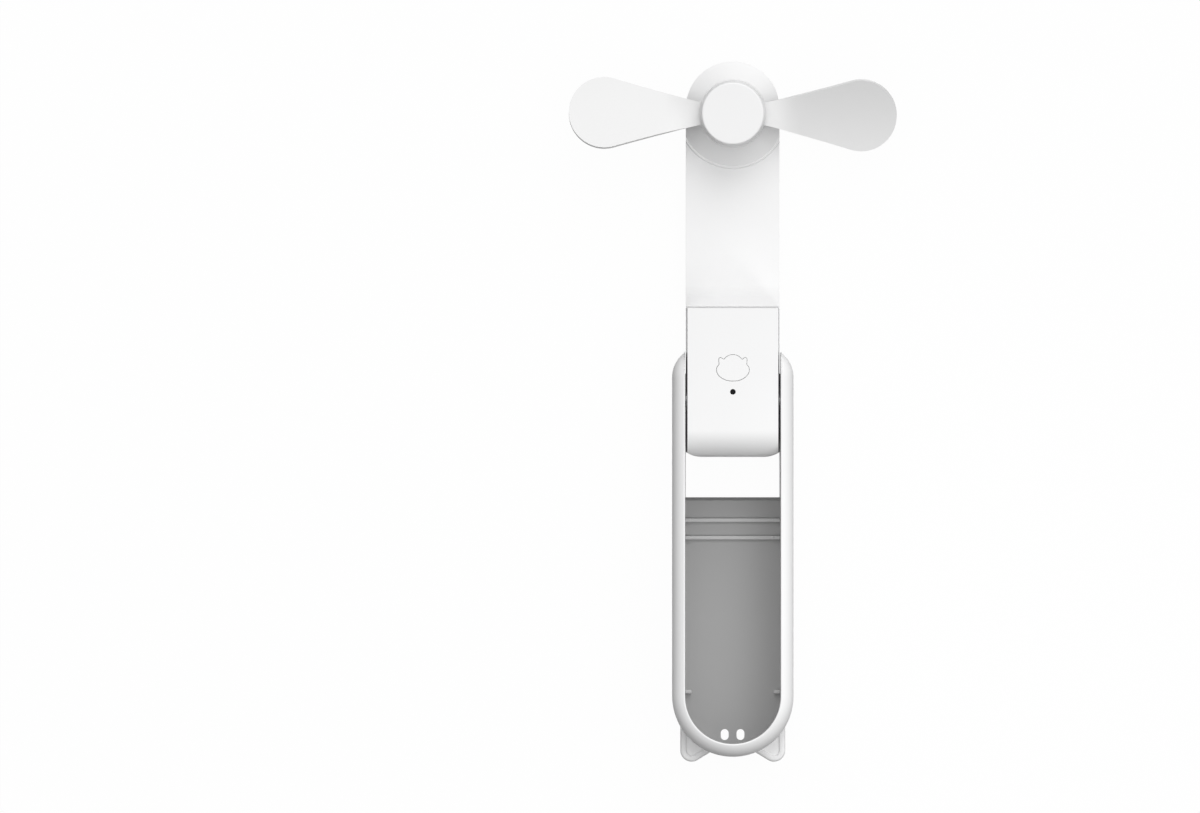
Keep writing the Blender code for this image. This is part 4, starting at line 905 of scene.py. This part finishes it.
def arm_blank(name, inset, looks):
    """The whole arm: thin panel, thick block with a round end, and motor dome, drawn in by the inset."""
    sizes = looks.arm
    end, tip, half = HOUSING_LOW.y, HOUSING_HIGH.y, HOUSING_HIGH.x
    step = end + sizes.block - inset
    face = sizes.panel - inset
    reach = half + OVERRUN
    piece = box(name, (-reach, end + inset, inset), (reach, tip + OVERRUN, face))
    with editing(piece):
        bpy.ops.mesh.bisect(plane_co=(0, step, 0), plane_no=(0, 1, 0))
        top = lies_at(2, face)
        choose(piece, "FACE", lambda side: top(side) and middle(side).y < step)
        extrude_up(DEPTH - sizes.panel)
        bpy.ops.mesh.select_all(action="SELECT")
        bpy.ops.mesh.bisect(plane_co=(0, step + sizes.valley, 0), plane_no=(0, 1, 0))
        choose(piece, "VERT", lambda corner: near(corner.co.y, step) and near(corner.co.z, face))
        bpy.ops.transform.translate(value=(0, 0, -sizes.valley_depth))
    bevel(piece, runs_along(0, (None, step + sizes.valley, face)), sizes.valley / 3, 8)
    for z in (inset, DEPTH - inset):
        bevel(piece, runs_along(0, (None, end + inset, z)), looks.body.end_fillet - inset, 24)
    join(piece, dome(name + "_dome", inset, sizes))
    low, high = -OVERRUN, DEPTH + OVERRUN
    width = half - inset
    outline = upright_block("arm_outline", width, end - OVERRUN, tip - inset, low, high, 0, width, 64)
    keep_inside(piece, outline)
    keep_inside(piece, drafted_block("arm_draft", width, end - OVERRUN, tip + OVERRUN, sizes))
    corner = looks.body.corner - inset
    ends = end + inset, tip + OVERRUN * 2
    corners = upright_block("arm_corners", HALF_WIDTH - inset, *ends, low, high, corner, 0, 24)
    return keep_inside(piece, corners)


def trim(piece, z, keep_top):
    """Keeps what lies over a height, or under it."""
    with editing(piece):
        plane = {"plane_co": (0, 0, z), "plane_no": (0, 0, 1)}
        bpy.ops.mesh.bisect(**plane, use_fill=True, clear_inner=keep_top, clear_outer=not keep_top)
    return weld(piece)


def smooth_loop(points, cuts):
    """A closed curve through the points: between each two, a few more on a Catmull-Rom spline."""
    loop = []
    total = len(points)
    for i in range(total):
        a, b, c, d = (Vector(points[(i + k) % total]) for k in (-1, 0, 1, 2))
        for step in range(cuts):
            t = step / cuts
            near_part = b * 2 + (c - a) * t
            far_part = (a * 2 - b * 5 + c * 4 - d) * t**2 + (b * 3 - a - c * 3 + d) * t**3
            loop.append(tuple((near_part + far_part) / 2))
    return loop


def head_outline(sizes, grow):
    """The button's head outline about its middle, grown outwards."""
    half_width, half_length = sizes.button_width / 2, sizes.button_length / 2
    right = [(x * half_width, y * half_length) for x, y in reversed(HEAD_SHARES)]
    points = smooth_loop(right + [(-x, y) for x, y in right[-2:0:-1]], 5)
    grown = []
    for i, (x, y) in enumerate(points):
        along = (Vector(points[(i + 1) % len(points)]) - Vector(points[i - 1])).normalized()
        grown.append((x + grow * along.y, y + PIVOT.y + sizes.button_place - grow * along.x))
    return grown


class Port:
    """A socket in the block's end face, with a rounded outline in XZ."""

    def __init__(self, node, width, height, radius):
        low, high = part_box(node)
        self.mouth, self.back = low.y, high.y
        self.x, self.z = (low.x + high.x) / 2, (low.z + high.z) / 2
        self.half_width, self.half_height = width / 2 - radius, height / 2 - radius
        self.radius = radius

    def prism(self, name, grow, low_y, high_y):
        """The port's outline, grown outwards and extruded along Y."""
        points = []
        for turn, (a, b) in enumerate(((1, -1), (1, 1), (-1, 1), (-1, -1))):
            centre = self.x + a * self.half_width, self.z + b * self.half_height
            points += arc(centre, self.radius + grow, turn * 90 - 90, turn * 90, 8)
        piece = prism(name, points, -high_y, -low_y)
        piece.rotation_euler = (math.pi / 2, 0, 0)
        return settle(piece)


def output_socket(small):
    return Port("usb_output_shell", small.usb_width, small.usb_height, small.metal * 2)


def charging_port(small):
    radius = small.charge_height / 2 - TINY
    return Port("charging_port_shell", small.charge_width, small.charge_height, radius)


def lens_rod(name, low_y, high_y, radius):
    """A rod on the lamp lens's axis."""
    x, z = LENS_CENTRE.x, LENS_CENTRE.z
    return rod(name, (x, low_y, z), (x, high_y, z), radius, sides=64)


def build_arm(looks):
    sizes, small = looks.arm, looks.small
    cover = arm_blank("arm_outer_cover", 0, looks)
    hollow = arm_blank("arm_hollow", sizes.wall, looks)
    ease(cover, sizes.easing, 3, 40)
    housing = copy_of(cover, "arm_inner_housing")
    housing_hollow = copy_of(hollow, "housing_hollow")
    cut(cover, hollow)
    trim(cover, COVER_TOP, False)
    smooth(cover)
    dress(cover, "arm", "white_shell", "arm_cover")

    bead = primitive(
        bpy.ops.mesh.primitive_torus_add,
        "dome_bead",
        location=(0, ROTOR.y, sizes.panel),
        major_radius=sizes.dome_base - sizes.bead / 2,
        minor_radius=sizes.bead,
        major_segments=160,
        minor_segments=12,
    )
    half = HOUSING_HIGH.x
    outline = upright_block("bead_outline", half, 0, HOUSING_HIGH.y - TINY * 3, 0, DEPTH, 0, half, 64)
    join(housing, keep_inside(bead, outline))
    cut(housing, housing_hollow)
    trim(housing, HOUSING_LOW.z, True)
    reach = half + OVERRUN
    dome_top = sizes.panel + sizes.dome_height
    through_dome = dome_top - sizes.wall - OVERRUN, dome_top + OVERRUN
    for side in (-1, 1):
        screw = side * sizes.screw_place, ROTOR.y
        cut(housing, upright_rod("motor_screw_hole", screw, *through_dome, sizes.screw_hole, sides=32))
        recess = side * (half - sizes.washer_depth), PIVOT.y, PIVOT.z
        past = side * reach, PIVOT.y, PIVOT.z
        cut(housing, rod("washer_recess", recess, past, sizes.washer_recess))
    cut(housing, hinge_rod(reach, sizes.pin_hole))
    step = HOUSING_LOW.y + sizes.block
    foot = sizes.panel - sizes.valley_depth
    seam_high = (reach, step + sizes.seam, foot + sizes.seam * 2)
    cut(housing, box("foot_seam", (-reach, step, foot - sizes.seam), seam_high))
    cut(housing, upright_rod("shaft_hole", (0, ROTOR.y), *through_dome, sizes.shaft_hole))

    through_wall = DEPTH - sizes.wall - OVERRUN, DEPTH + OVERRUN
    cut(housing, prism("button_hole", head_outline(small, small.button_gap), *through_wall))
    window_radius = small.window_radius + small.gap / 2
    cut(housing, upright_rod("window_hole", WINDOW_CENTRE, *through_wall, window_radius))
    near_y, far_y = HOUSING_LOW.y - OVERRUN, HOUSING_LOW.y + sizes.wall + OVERRUN
    for port in (output_socket(small), charging_port(small)):
        cut(housing, port.prism("port_hole", small.gap, near_y, far_y))
    cut(housing, lens_rod("lens_hole", near_y, far_y, LENS_RADIUS + small.gap))
    smooth(housing)
    dress(housing, "arm", "white_shell", "arm_housing")


def build_button(looks):
    """The flush head-shaped cap, its flange behind the wall and its stem."""
    small = looks.small
    flange_top = DEPTH - looks.arm.wall - small.gap
    flange_low = BUTTON_HIGH.z - (BUTTON_HIGH.z - flange_top) * 1.5
    cap = prism("power_button_cap", head_outline(small, 0), flange_low, DEPTH)
    bevel(cap, lies_at(2, DEPTH), small.button_gap, 3)
    centre, half = (BUTTON_LOW + BUTTON_HIGH) / 2, (BUTTON_HIGH - BUTTON_LOW) / 2
    oval = [(centre.x + half.x * x, centre.y + half.y * y) for x, y in arc((0, 0), 1, 0, 354, 59)]
    flange = prism("flange", oval, flange_low - small.gap, flange_top - small.gap)
    stem = upright_rod("stem", centre, BUTTON_LOW.z, flange_top, small.button_width / 8, sides=32)
    join(cap, flange, stem)
    smooth(cap)
    dress(cap, "button", "white_shell", "power_button", finish="polished")


def build_indicator(looks):
    """The dark window of the lamp: a shallow dome over a stepped light pipe."""
    small = looks.small
    top = DEPTH - small.gap
    window = upright_rod("indicator_lens", WINDOW_CENTRE, WINDOW_LOW.z, top, small.window_radius, sides=64)
    bevel(window, lies_at(2, top), small.gap, 4)
    flange_top = DEPTH - looks.arm.wall - small.gap
    flange = flange_top - small.metal * 2, flange_top, (WINDOW_HIGH.x - WINDOW_LOW.x) / 2
    join(window, upright_rod("flange", WINDOW_CENTRE, *flange, sides=64))
    smooth(window)
    dress(window, "arm", "black_plastic", "indicator_window")


# Ports and lamp


def socket_shell(name, node, port, metal):
    """A drawn metal socket with an eased mouth."""
    shell = port.prism(name, 0, port.mouth, port.back)
    cut(shell, port.prism("cavity", -metal, port.mouth - OVERRUN, port.back - metal))
    smooth(ease(shell, metal / 4, 2, 50))
    dress(shell, "arm", "steel", node)


def tongue(name, node, slot, contacts, width, metal):
    """A socket's tongue, and its row of sprung contacts on both faces."""
    low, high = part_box(node)
    piece = ease(box(name, low, high), metal / 3, 3, 35)
    smooth(piece)
    dress(piece, "arm", slot, node)
    pitch = (high.x - low.x) / (contacts + 1)
    strips = []
    for number in range(contacts):
        x = low.x + pitch * (number + 1)
        for z in (high.z, low.z):
            start = (x - width / 2, low.y + metal * 2, z - metal / 4)
            end = (x + width / 2, high.y - metal, z + metal / 4)
            strips.append(ease(box("contact", start, end), metal / 8, 2, 35))
    alone(strips[0])
    for strip in strips[1:]:
        strip.select_set(True)
    bpy.ops.object.join()
    joined = bpy.context.active_object
    joined.name = name + "_contacts"
    smooth(joined)
    dress(joined, "arm", "brass")


def build_ports(looks):
    small = looks.small
    metal = small.metal
    socket_shell("output_socket_shell", "usb_output_shell", output_socket(small), metal)
    socket_shell("charging_port_surround", "charging_port_shell", charging_port(small), metal)
    tongue("output_tongue", "usb_output_tongue", "soft_white", OUTPUT_CONTACTS, small.usb_contact, metal)
    charging = "charging_tongue", "charging_port_tongue", "black_plastic"
    tongue(*charging, CHARGING_CONTACTS, small.charge_contact, metal)


def build_lamp(looks):
    """The torch's lens, with a rounded front edge."""
    lens = lens_rod("lamp_lens", LENS_LOW.y, LENS_HIGH.y, LENS_RADIUS)
    bevel(lens, lies_at(1, LENS_LOW.y), looks.small.lens_edge, 5)
    smooth(lens)
    dress(lens, "arm", "clear_lens", "flashlight_lens")


# Fan


def build_hub(looks):
    """The drafted hub cap and the base disc below the blades."""
    sizes = looks.fan
    low, high = CAP_LOW.z, CAP_HIGH.z
    inside = high - sizes.hub_wall
    cap = upright_rod("hub_cover", ROTOR, low, high, CAP_HIGH.x, sizes.hub_top, 160)
    bevel(cap, lies_at(2, high), sizes.hub_easing, 6)
    hollow = low - OVERRUN, inside, sizes.hub_top - sizes.hub_wall
    cut(cap, upright_rod("cap_hollow", ROTOR, *hollow, sides=128))
    places = [(x, ROTOR.y) for x in (-RIGHT_PIN.x, 0, RIGHT_PIN.x)]
    join(cap, *[upright_rod("boss", at, low, inside + TINY * 10, sizes.boss) for at in places])
    hole = low - OVERRUN, low + sizes.boss_hole, sizes.pin_hole
    cut(cap, *[upright_rod("hole", at, *hole) for at in places])
    ease(cap, sizes.hub_easing / 5, 2, 60)
    smooth(cap)
    dress(cap, "rotor", "white_shell", "hub_cap", finish="polished")

    base = copy_of(frame["nodes"]["hub_base"], "hub_base_disc")
    for key in list(base.keys()):
        del base[key]
    base.parent = None
    weld(base)
    ease(base, sizes.hub_easing / 4, 2, 50)
    smooth(base)
    dress(base, "rotor", "white_shell", "hub_base")


def blade_stations(sizes, radius):
    """(distance from the pin, half width) pairs: a slowly widening neck, then a round lobe."""
    lobe = radius - sizes.lobe
    meet = lobe - sizes.lobe * math.sin(sizes.edge)
    width = sizes.lobe * math.cos(sizes.edge)
    stations = []
    for i in range(NECK_STEPS):
        t = i / NECK_STEPS
        start = sizes.root * (2 * t**3 - 3 * t**2 + 1) + meet * NECK_SLOPE * (t**3 - 2 * t**2 + t)
        end = width * (3 * t**2 - 2 * t**3) + meet * math.tan(sizes.edge) * (t**3 - t**2)
        stations.append((meet * t, start + end))
    for i in range(LOBE_STEPS + 1):
        angle_in = -sizes.edge + (TIP_ANGLE + sizes.edge) * i / LOBE_STEPS
        stations.append((lobe + sizes.lobe * math.sin(angle_in), sizes.lobe * math.cos(angle_in)))
    return stations


def blade(name, sizes):
    """The right blade: a grid drawn to its outline and pitched, thickened and joined to its ring."""
    stations = blade_stations(sizes, BLADE_TIP - TINY * 2 - RIGHT_PIN.x)
    grid = {"x_subdivisions": BLADE_COLUMNS, "y_subdivisions": len(stations) - 1, "size": 2}
    sheet = primitive(bpy.ops.mesh.primitive_grid_add, name, **grid)
    for number, corner in enumerate(sheet.data.vertices):
        row, column = divmod(number, BLADE_COLUMNS + 1)
        reach, half_width = stations[row]
        y = half_width * (2 * column / BLADE_COLUMNS - 1)
        t = min(1, max(0, (reach - sizes.pitch_start) / sizes.pitch_ramp))
        pitch = sizes.pitch * t * t * (3 - 2 * t)
        hollow = sizes.camber * t * ((y / sizes.lobe) ** 2 - 0.5)
        corner.co = (RIGHT_PIN.x + reach, RIGHT_PIN.y + y, RIGHT_PIN.z + y * math.tan(pitch) + hollow)
    weld(sheet)
    modify(sheet, "SOLIDIFY", thickness=sizes.thickness, offset=0, use_even_offset=True)
    ease(sheet, sizes.thickness * BLADE_EASING, 3, 50)
    z, half = RIGHT_PIN.z, sizes.knuckle_height / 2
    join(sheet, upright_rod("ring", RIGHT_PIN, z - half, z + half, sizes.knuckle, sides=64))
    cut(sheet, upright_rod("pin_hole", RIGHT_PIN, z - OVERRUN * 2, z + OVERRUN * 2, sizes.pin_hole))
    return smooth(sheet, 40)


def build_blades(looks):
    right = blade("right_blade", looks.fan)
    left = copy_of(right, "left_blade")
    for corner in left.data.vertices:
        corner.co = (2 * ROTOR.x - corner.co.x, 2 * ROTOR.y - corner.co.y, corner.co.z)
    turns = looks.fan.right_turn, looks.fan.left_turn
    for piece, x, turn in zip((right, left), (RIGHT_PIN.x, -RIGHT_PIN.x), turns):
        with editing(piece):
            bpy.ops.transform.rotate(value=turn, orient_axis="Z", center_override=(x, *RIGHT_PIN.yz))
    dress(right, "blade_right_body", "soft_white", "blade_right")
    dress(left, "blade_left_body", "soft_white", "blade_left")


def finish_inner_works():
    """Gives every solid that is carried over the finish of its slot."""
    for part in frame["record"]["subparts"]:
        node = frame["nodes"][part["node"]]
        if not node.hide_render:
            node.data.materials.clear()
            node.data.materials.append(FINISHES[part["material_slot"]])


# Stage


def seen_directly(nodes):
    """A value that is 1 for the camera, and for what gloss and glass show."""
    seen = nodes.node("ShaderNodeLightPath", output="Is Camera Ray")
    path = seen.socket.node
    for kind in ("Is Glossy Ray", "Is Transmission Ray"):
        seen = seen.maths("MAXIMUM", seen, Value(nodes, path.outputs[kind]))
    return seen


def floor_material(settings):
    """A pale floor that the camera, gloss and glass see nearly white, with its shadow kept."""
    material = bpy.data.materials.new("studio_floor")
    material.use_nodes = True
    material.node_tree.nodes.clear()
    floor = Nodes(material.node_tree)
    seen = seen_directly(floor)
    colour_seen = floor.mixed_colour(seen, (*settings.bounce, 1), (*settings.floor, 1))
    pale = floor.node("ShaderNodeBsdfDiffuse", None, {"Color": colour_seen})
    lit = floor.mixed_shader(seen * settings.whiteness, pale, floor.node("ShaderNodeEmission"))
    behind = floor.node("ShaderNodeNewGeometry", output="Backfacing")
    sided = floor.mixed_shader(behind, lit, floor.node("ShaderNodeBsdfTransparent"))
    floor.node("ShaderNodeOutputMaterial", None, {"Surface": sided})
    return material


def studio_world(settings):
    """An even pale sky for light, seen as plain white by the camera, gloss and glass."""
    world = bpy.data.worlds.new("studio")
    bpy.context.scene.world = world
    world.use_nodes = True
    world.node_tree.nodes.clear()
    sky = Nodes(world.node_tree)
    direction = sky.node("ShaderNodeTexCoord", output="Generated")
    lean = [part * settings.sky for part in settings.sky_lean]
    inputs = {0: direction, 1: lean}
    glow = sky.node("ShaderNodeVectorMath", {"operation": "DOT_PRODUCT"}, inputs, output="Value")
    strength = glow.maths("MAXIMUM", glow, 0)
    light = sky.node("ShaderNodeBackground", None, {"Color": (1, 1, 1, 1), "Strength": strength})
    white = sky.node("ShaderNodeBackground", None, {"Color": (1, 1, 1, 1)})
    shown = sky.mixed_shader(seen_directly(sky), light, white)
    sky.node("ShaderNodeOutputWorld", None, {"Surface": shown})


def lamp(name, power, direction, distance, width, length):
    """A soft lamp, seen from the object in a direction and facing it, with its length along Y."""
    data = bpy.data.lights.new(name, "AREA")
    data.shape = "RECTANGLE"
    data.size = width
    data.size_y = length
    data.energy = power
    made = bpy.data.objects.new(name, data)
    away = Vector(direction).normalized()
    made.location = away * distance
    made.rotation_euler = away.to_track_quat("Z", "Y").to_euler()
    made.visible_camera = False
    bpy.context.scene.collection.objects.link(made)


def build_stage(settings):
    floor = primitive(bpy.ops.mesh.primitive_plane_add, "studio_floor", size=8)
    floor.data.materials.append(floor_material(settings))
    studio_world(settings)
    lamp("key_lamp", settings.key_power, **KEY_LAMP)
    lamp("fill_lamp", settings.fill_power, **FILL_LAMP)
    data = bpy.data.cameras.new("camera")
    data.sensor_width = 36
    data.lens = data.sensor_width * settings.distance / settings.frame_width
    data.clip_end = settings.distance * 4
    camera = bpy.data.objects.new("camera", data)
    camera.location = (settings.frame_x, settings.frame_y, settings.distance)
    bpy.context.scene.collection.objects.link(camera)
    bpy.context.scene.camera = camera
    bpy.context.scene.view_settings.view_transform = "Standard"


class FAN_OT_finishes(bpy.types.Operator):
    """Make the plastic, metal and other finishes"""

    bl_idname = "pocket_fan.finishes"
    bl_label = "Finishes"

    def execute(self, context):
        make_finishes(context.scene.pocket_fan)
        return {"FINISHED"}


class FAN_OT_body(bpy.types.Operator):
    """Model the body with its rails, round end and ears"""

    bl_idname = "pocket_fan.body"
    bl_label = "Body"

    def execute(self, context):
        build_body(context.scene.pocket_fan)
        return {"FINISHED"}


class FAN_OT_liner(bpy.types.Operator):
    """Model the grey liner of the bay with its ribs"""

    bl_idname = "pocket_fan.liner"
    bl_label = "Bay liner"

    def execute(self, context):
        build_liner(context.scene.pocket_fan)
        return {"FINISHED"}


class FAN_OT_arm(bpy.types.Operator):
    """Model the arm's two shells with the block, panel and motor dome"""

    bl_idname = "pocket_fan.arm"
    bl_label = "Arm"

    def execute(self, context):
        build_arm(context.scene.pocket_fan)
        return {"FINISHED"}


class FAN_OT_button(bpy.types.Operator):
    """Model the power button and the indicator's window"""

    bl_idname = "pocket_fan.button"
    bl_label = "Button and indicator"

    def execute(self, context):
        build_button(context.scene.pocket_fan)
        build_indicator(context.scene.pocket_fan)
        return {"FINISHED"}


class FAN_OT_ports(bpy.types.Operator):
    """Model the sockets, their tongues and contacts, and the lamp's lens"""

    bl_idname = "pocket_fan.ports"
    bl_label = "Ports and lamp"

    def execute(self, context):
        build_ports(context.scene.pocket_fan)
        build_lamp(context.scene.pocket_fan)
        return {"FINISHED"}


class FAN_OT_hub(bpy.types.Operator):
    """Model the hub's cap and base"""

    bl_idname = "pocket_fan.hub"
    bl_label = "Hub"

    def execute(self, context):
        build_hub(context.scene.pocket_fan)
        return {"FINISHED"}


class FAN_OT_blades(bpy.types.Operator):
    """Model the two pitched blades"""

    bl_idname = "pocket_fan.blades"
    bl_label = "Blades"

    def execute(self, context):
        build_blades(context.scene.pocket_fan)
        return {"FINISHED"}


class FAN_OT_inner_works(bpy.types.Operator):
    """Finish the motor, battery, boards and other solids that are carried over"""

    bl_idname = "pocket_fan.inner_works"
    bl_label = "Inner works"

    def execute(self, context):
        finish_inner_works()
        return {"FINISHED"}


class FAN_OT_stage(bpy.types.Operator):
    """Set up the floor, lamps and camera"""

    bl_idname = "pocket_fan.stage"
    bl_label = "Stage"

    def execute(self, context):
        build_stage(context.scene.pocket_fan.stage)
        return {"FINISHED"}


OPERATORS = (
    FAN_OT_finishes, FAN_OT_body, FAN_OT_liner, FAN_OT_arm, FAN_OT_button,
    FAN_OT_ports, FAN_OT_hub, FAN_OT_blades, FAN_OT_inner_works, FAN_OT_stage,
)


class FAN_PT_panel(bpy.types.Panel):
    """The fan's pieces, one button each"""

    bl_idname = "FAN_PT_panel"
    bl_label = "Pocket fan"
    bl_space_type = "VIEW_3D"
    bl_region_type = "UI"
    bl_category = "Pocket fan"

    def draw(self, context):
        for operator in OPERATORS:
            self.layout.operator(operator.bl_idname)


GROUPS = (
    BodySizes, EarSizes, LinerSizes, ArmSizes, SmallPartSizes, FanSizes, Colours, StageSettings, FanLooks,
)
CLASSES = GROUPS + OPERATORS + (FAN_PT_panel,)


def register():
    for each in CLASSES:
        bpy.utils.register_class(each)
    bpy.types.Scene.pocket_fan = PointerProperty(
        type=FanLooks, name="Pocket fan", description="Sizes and colours of the pocket fan"
    )


def unregister():
    del bpy.types.Scene.pocket_fan
    for each in reversed(CLASSES):
        bpy.utils.unregister_class(each)


def main():
    register()
    bpy.ops.pocket_fan.finishes()
    bpy.ops.pocket_fan.body()
    bpy.ops.pocket_fan.liner()
    bpy.ops.pocket_fan.arm()
    bpy.ops.pocket_fan.button()
    bpy.ops.pocket_fan.ports()
    bpy.ops.pocket_fan.hub()
    bpy.ops.pocket_fan.blades()
    bpy.ops.pocket_fan.inner_works()
    bpy.ops.pocket_fan.stage()


if __name__ == "__main__":
    main()
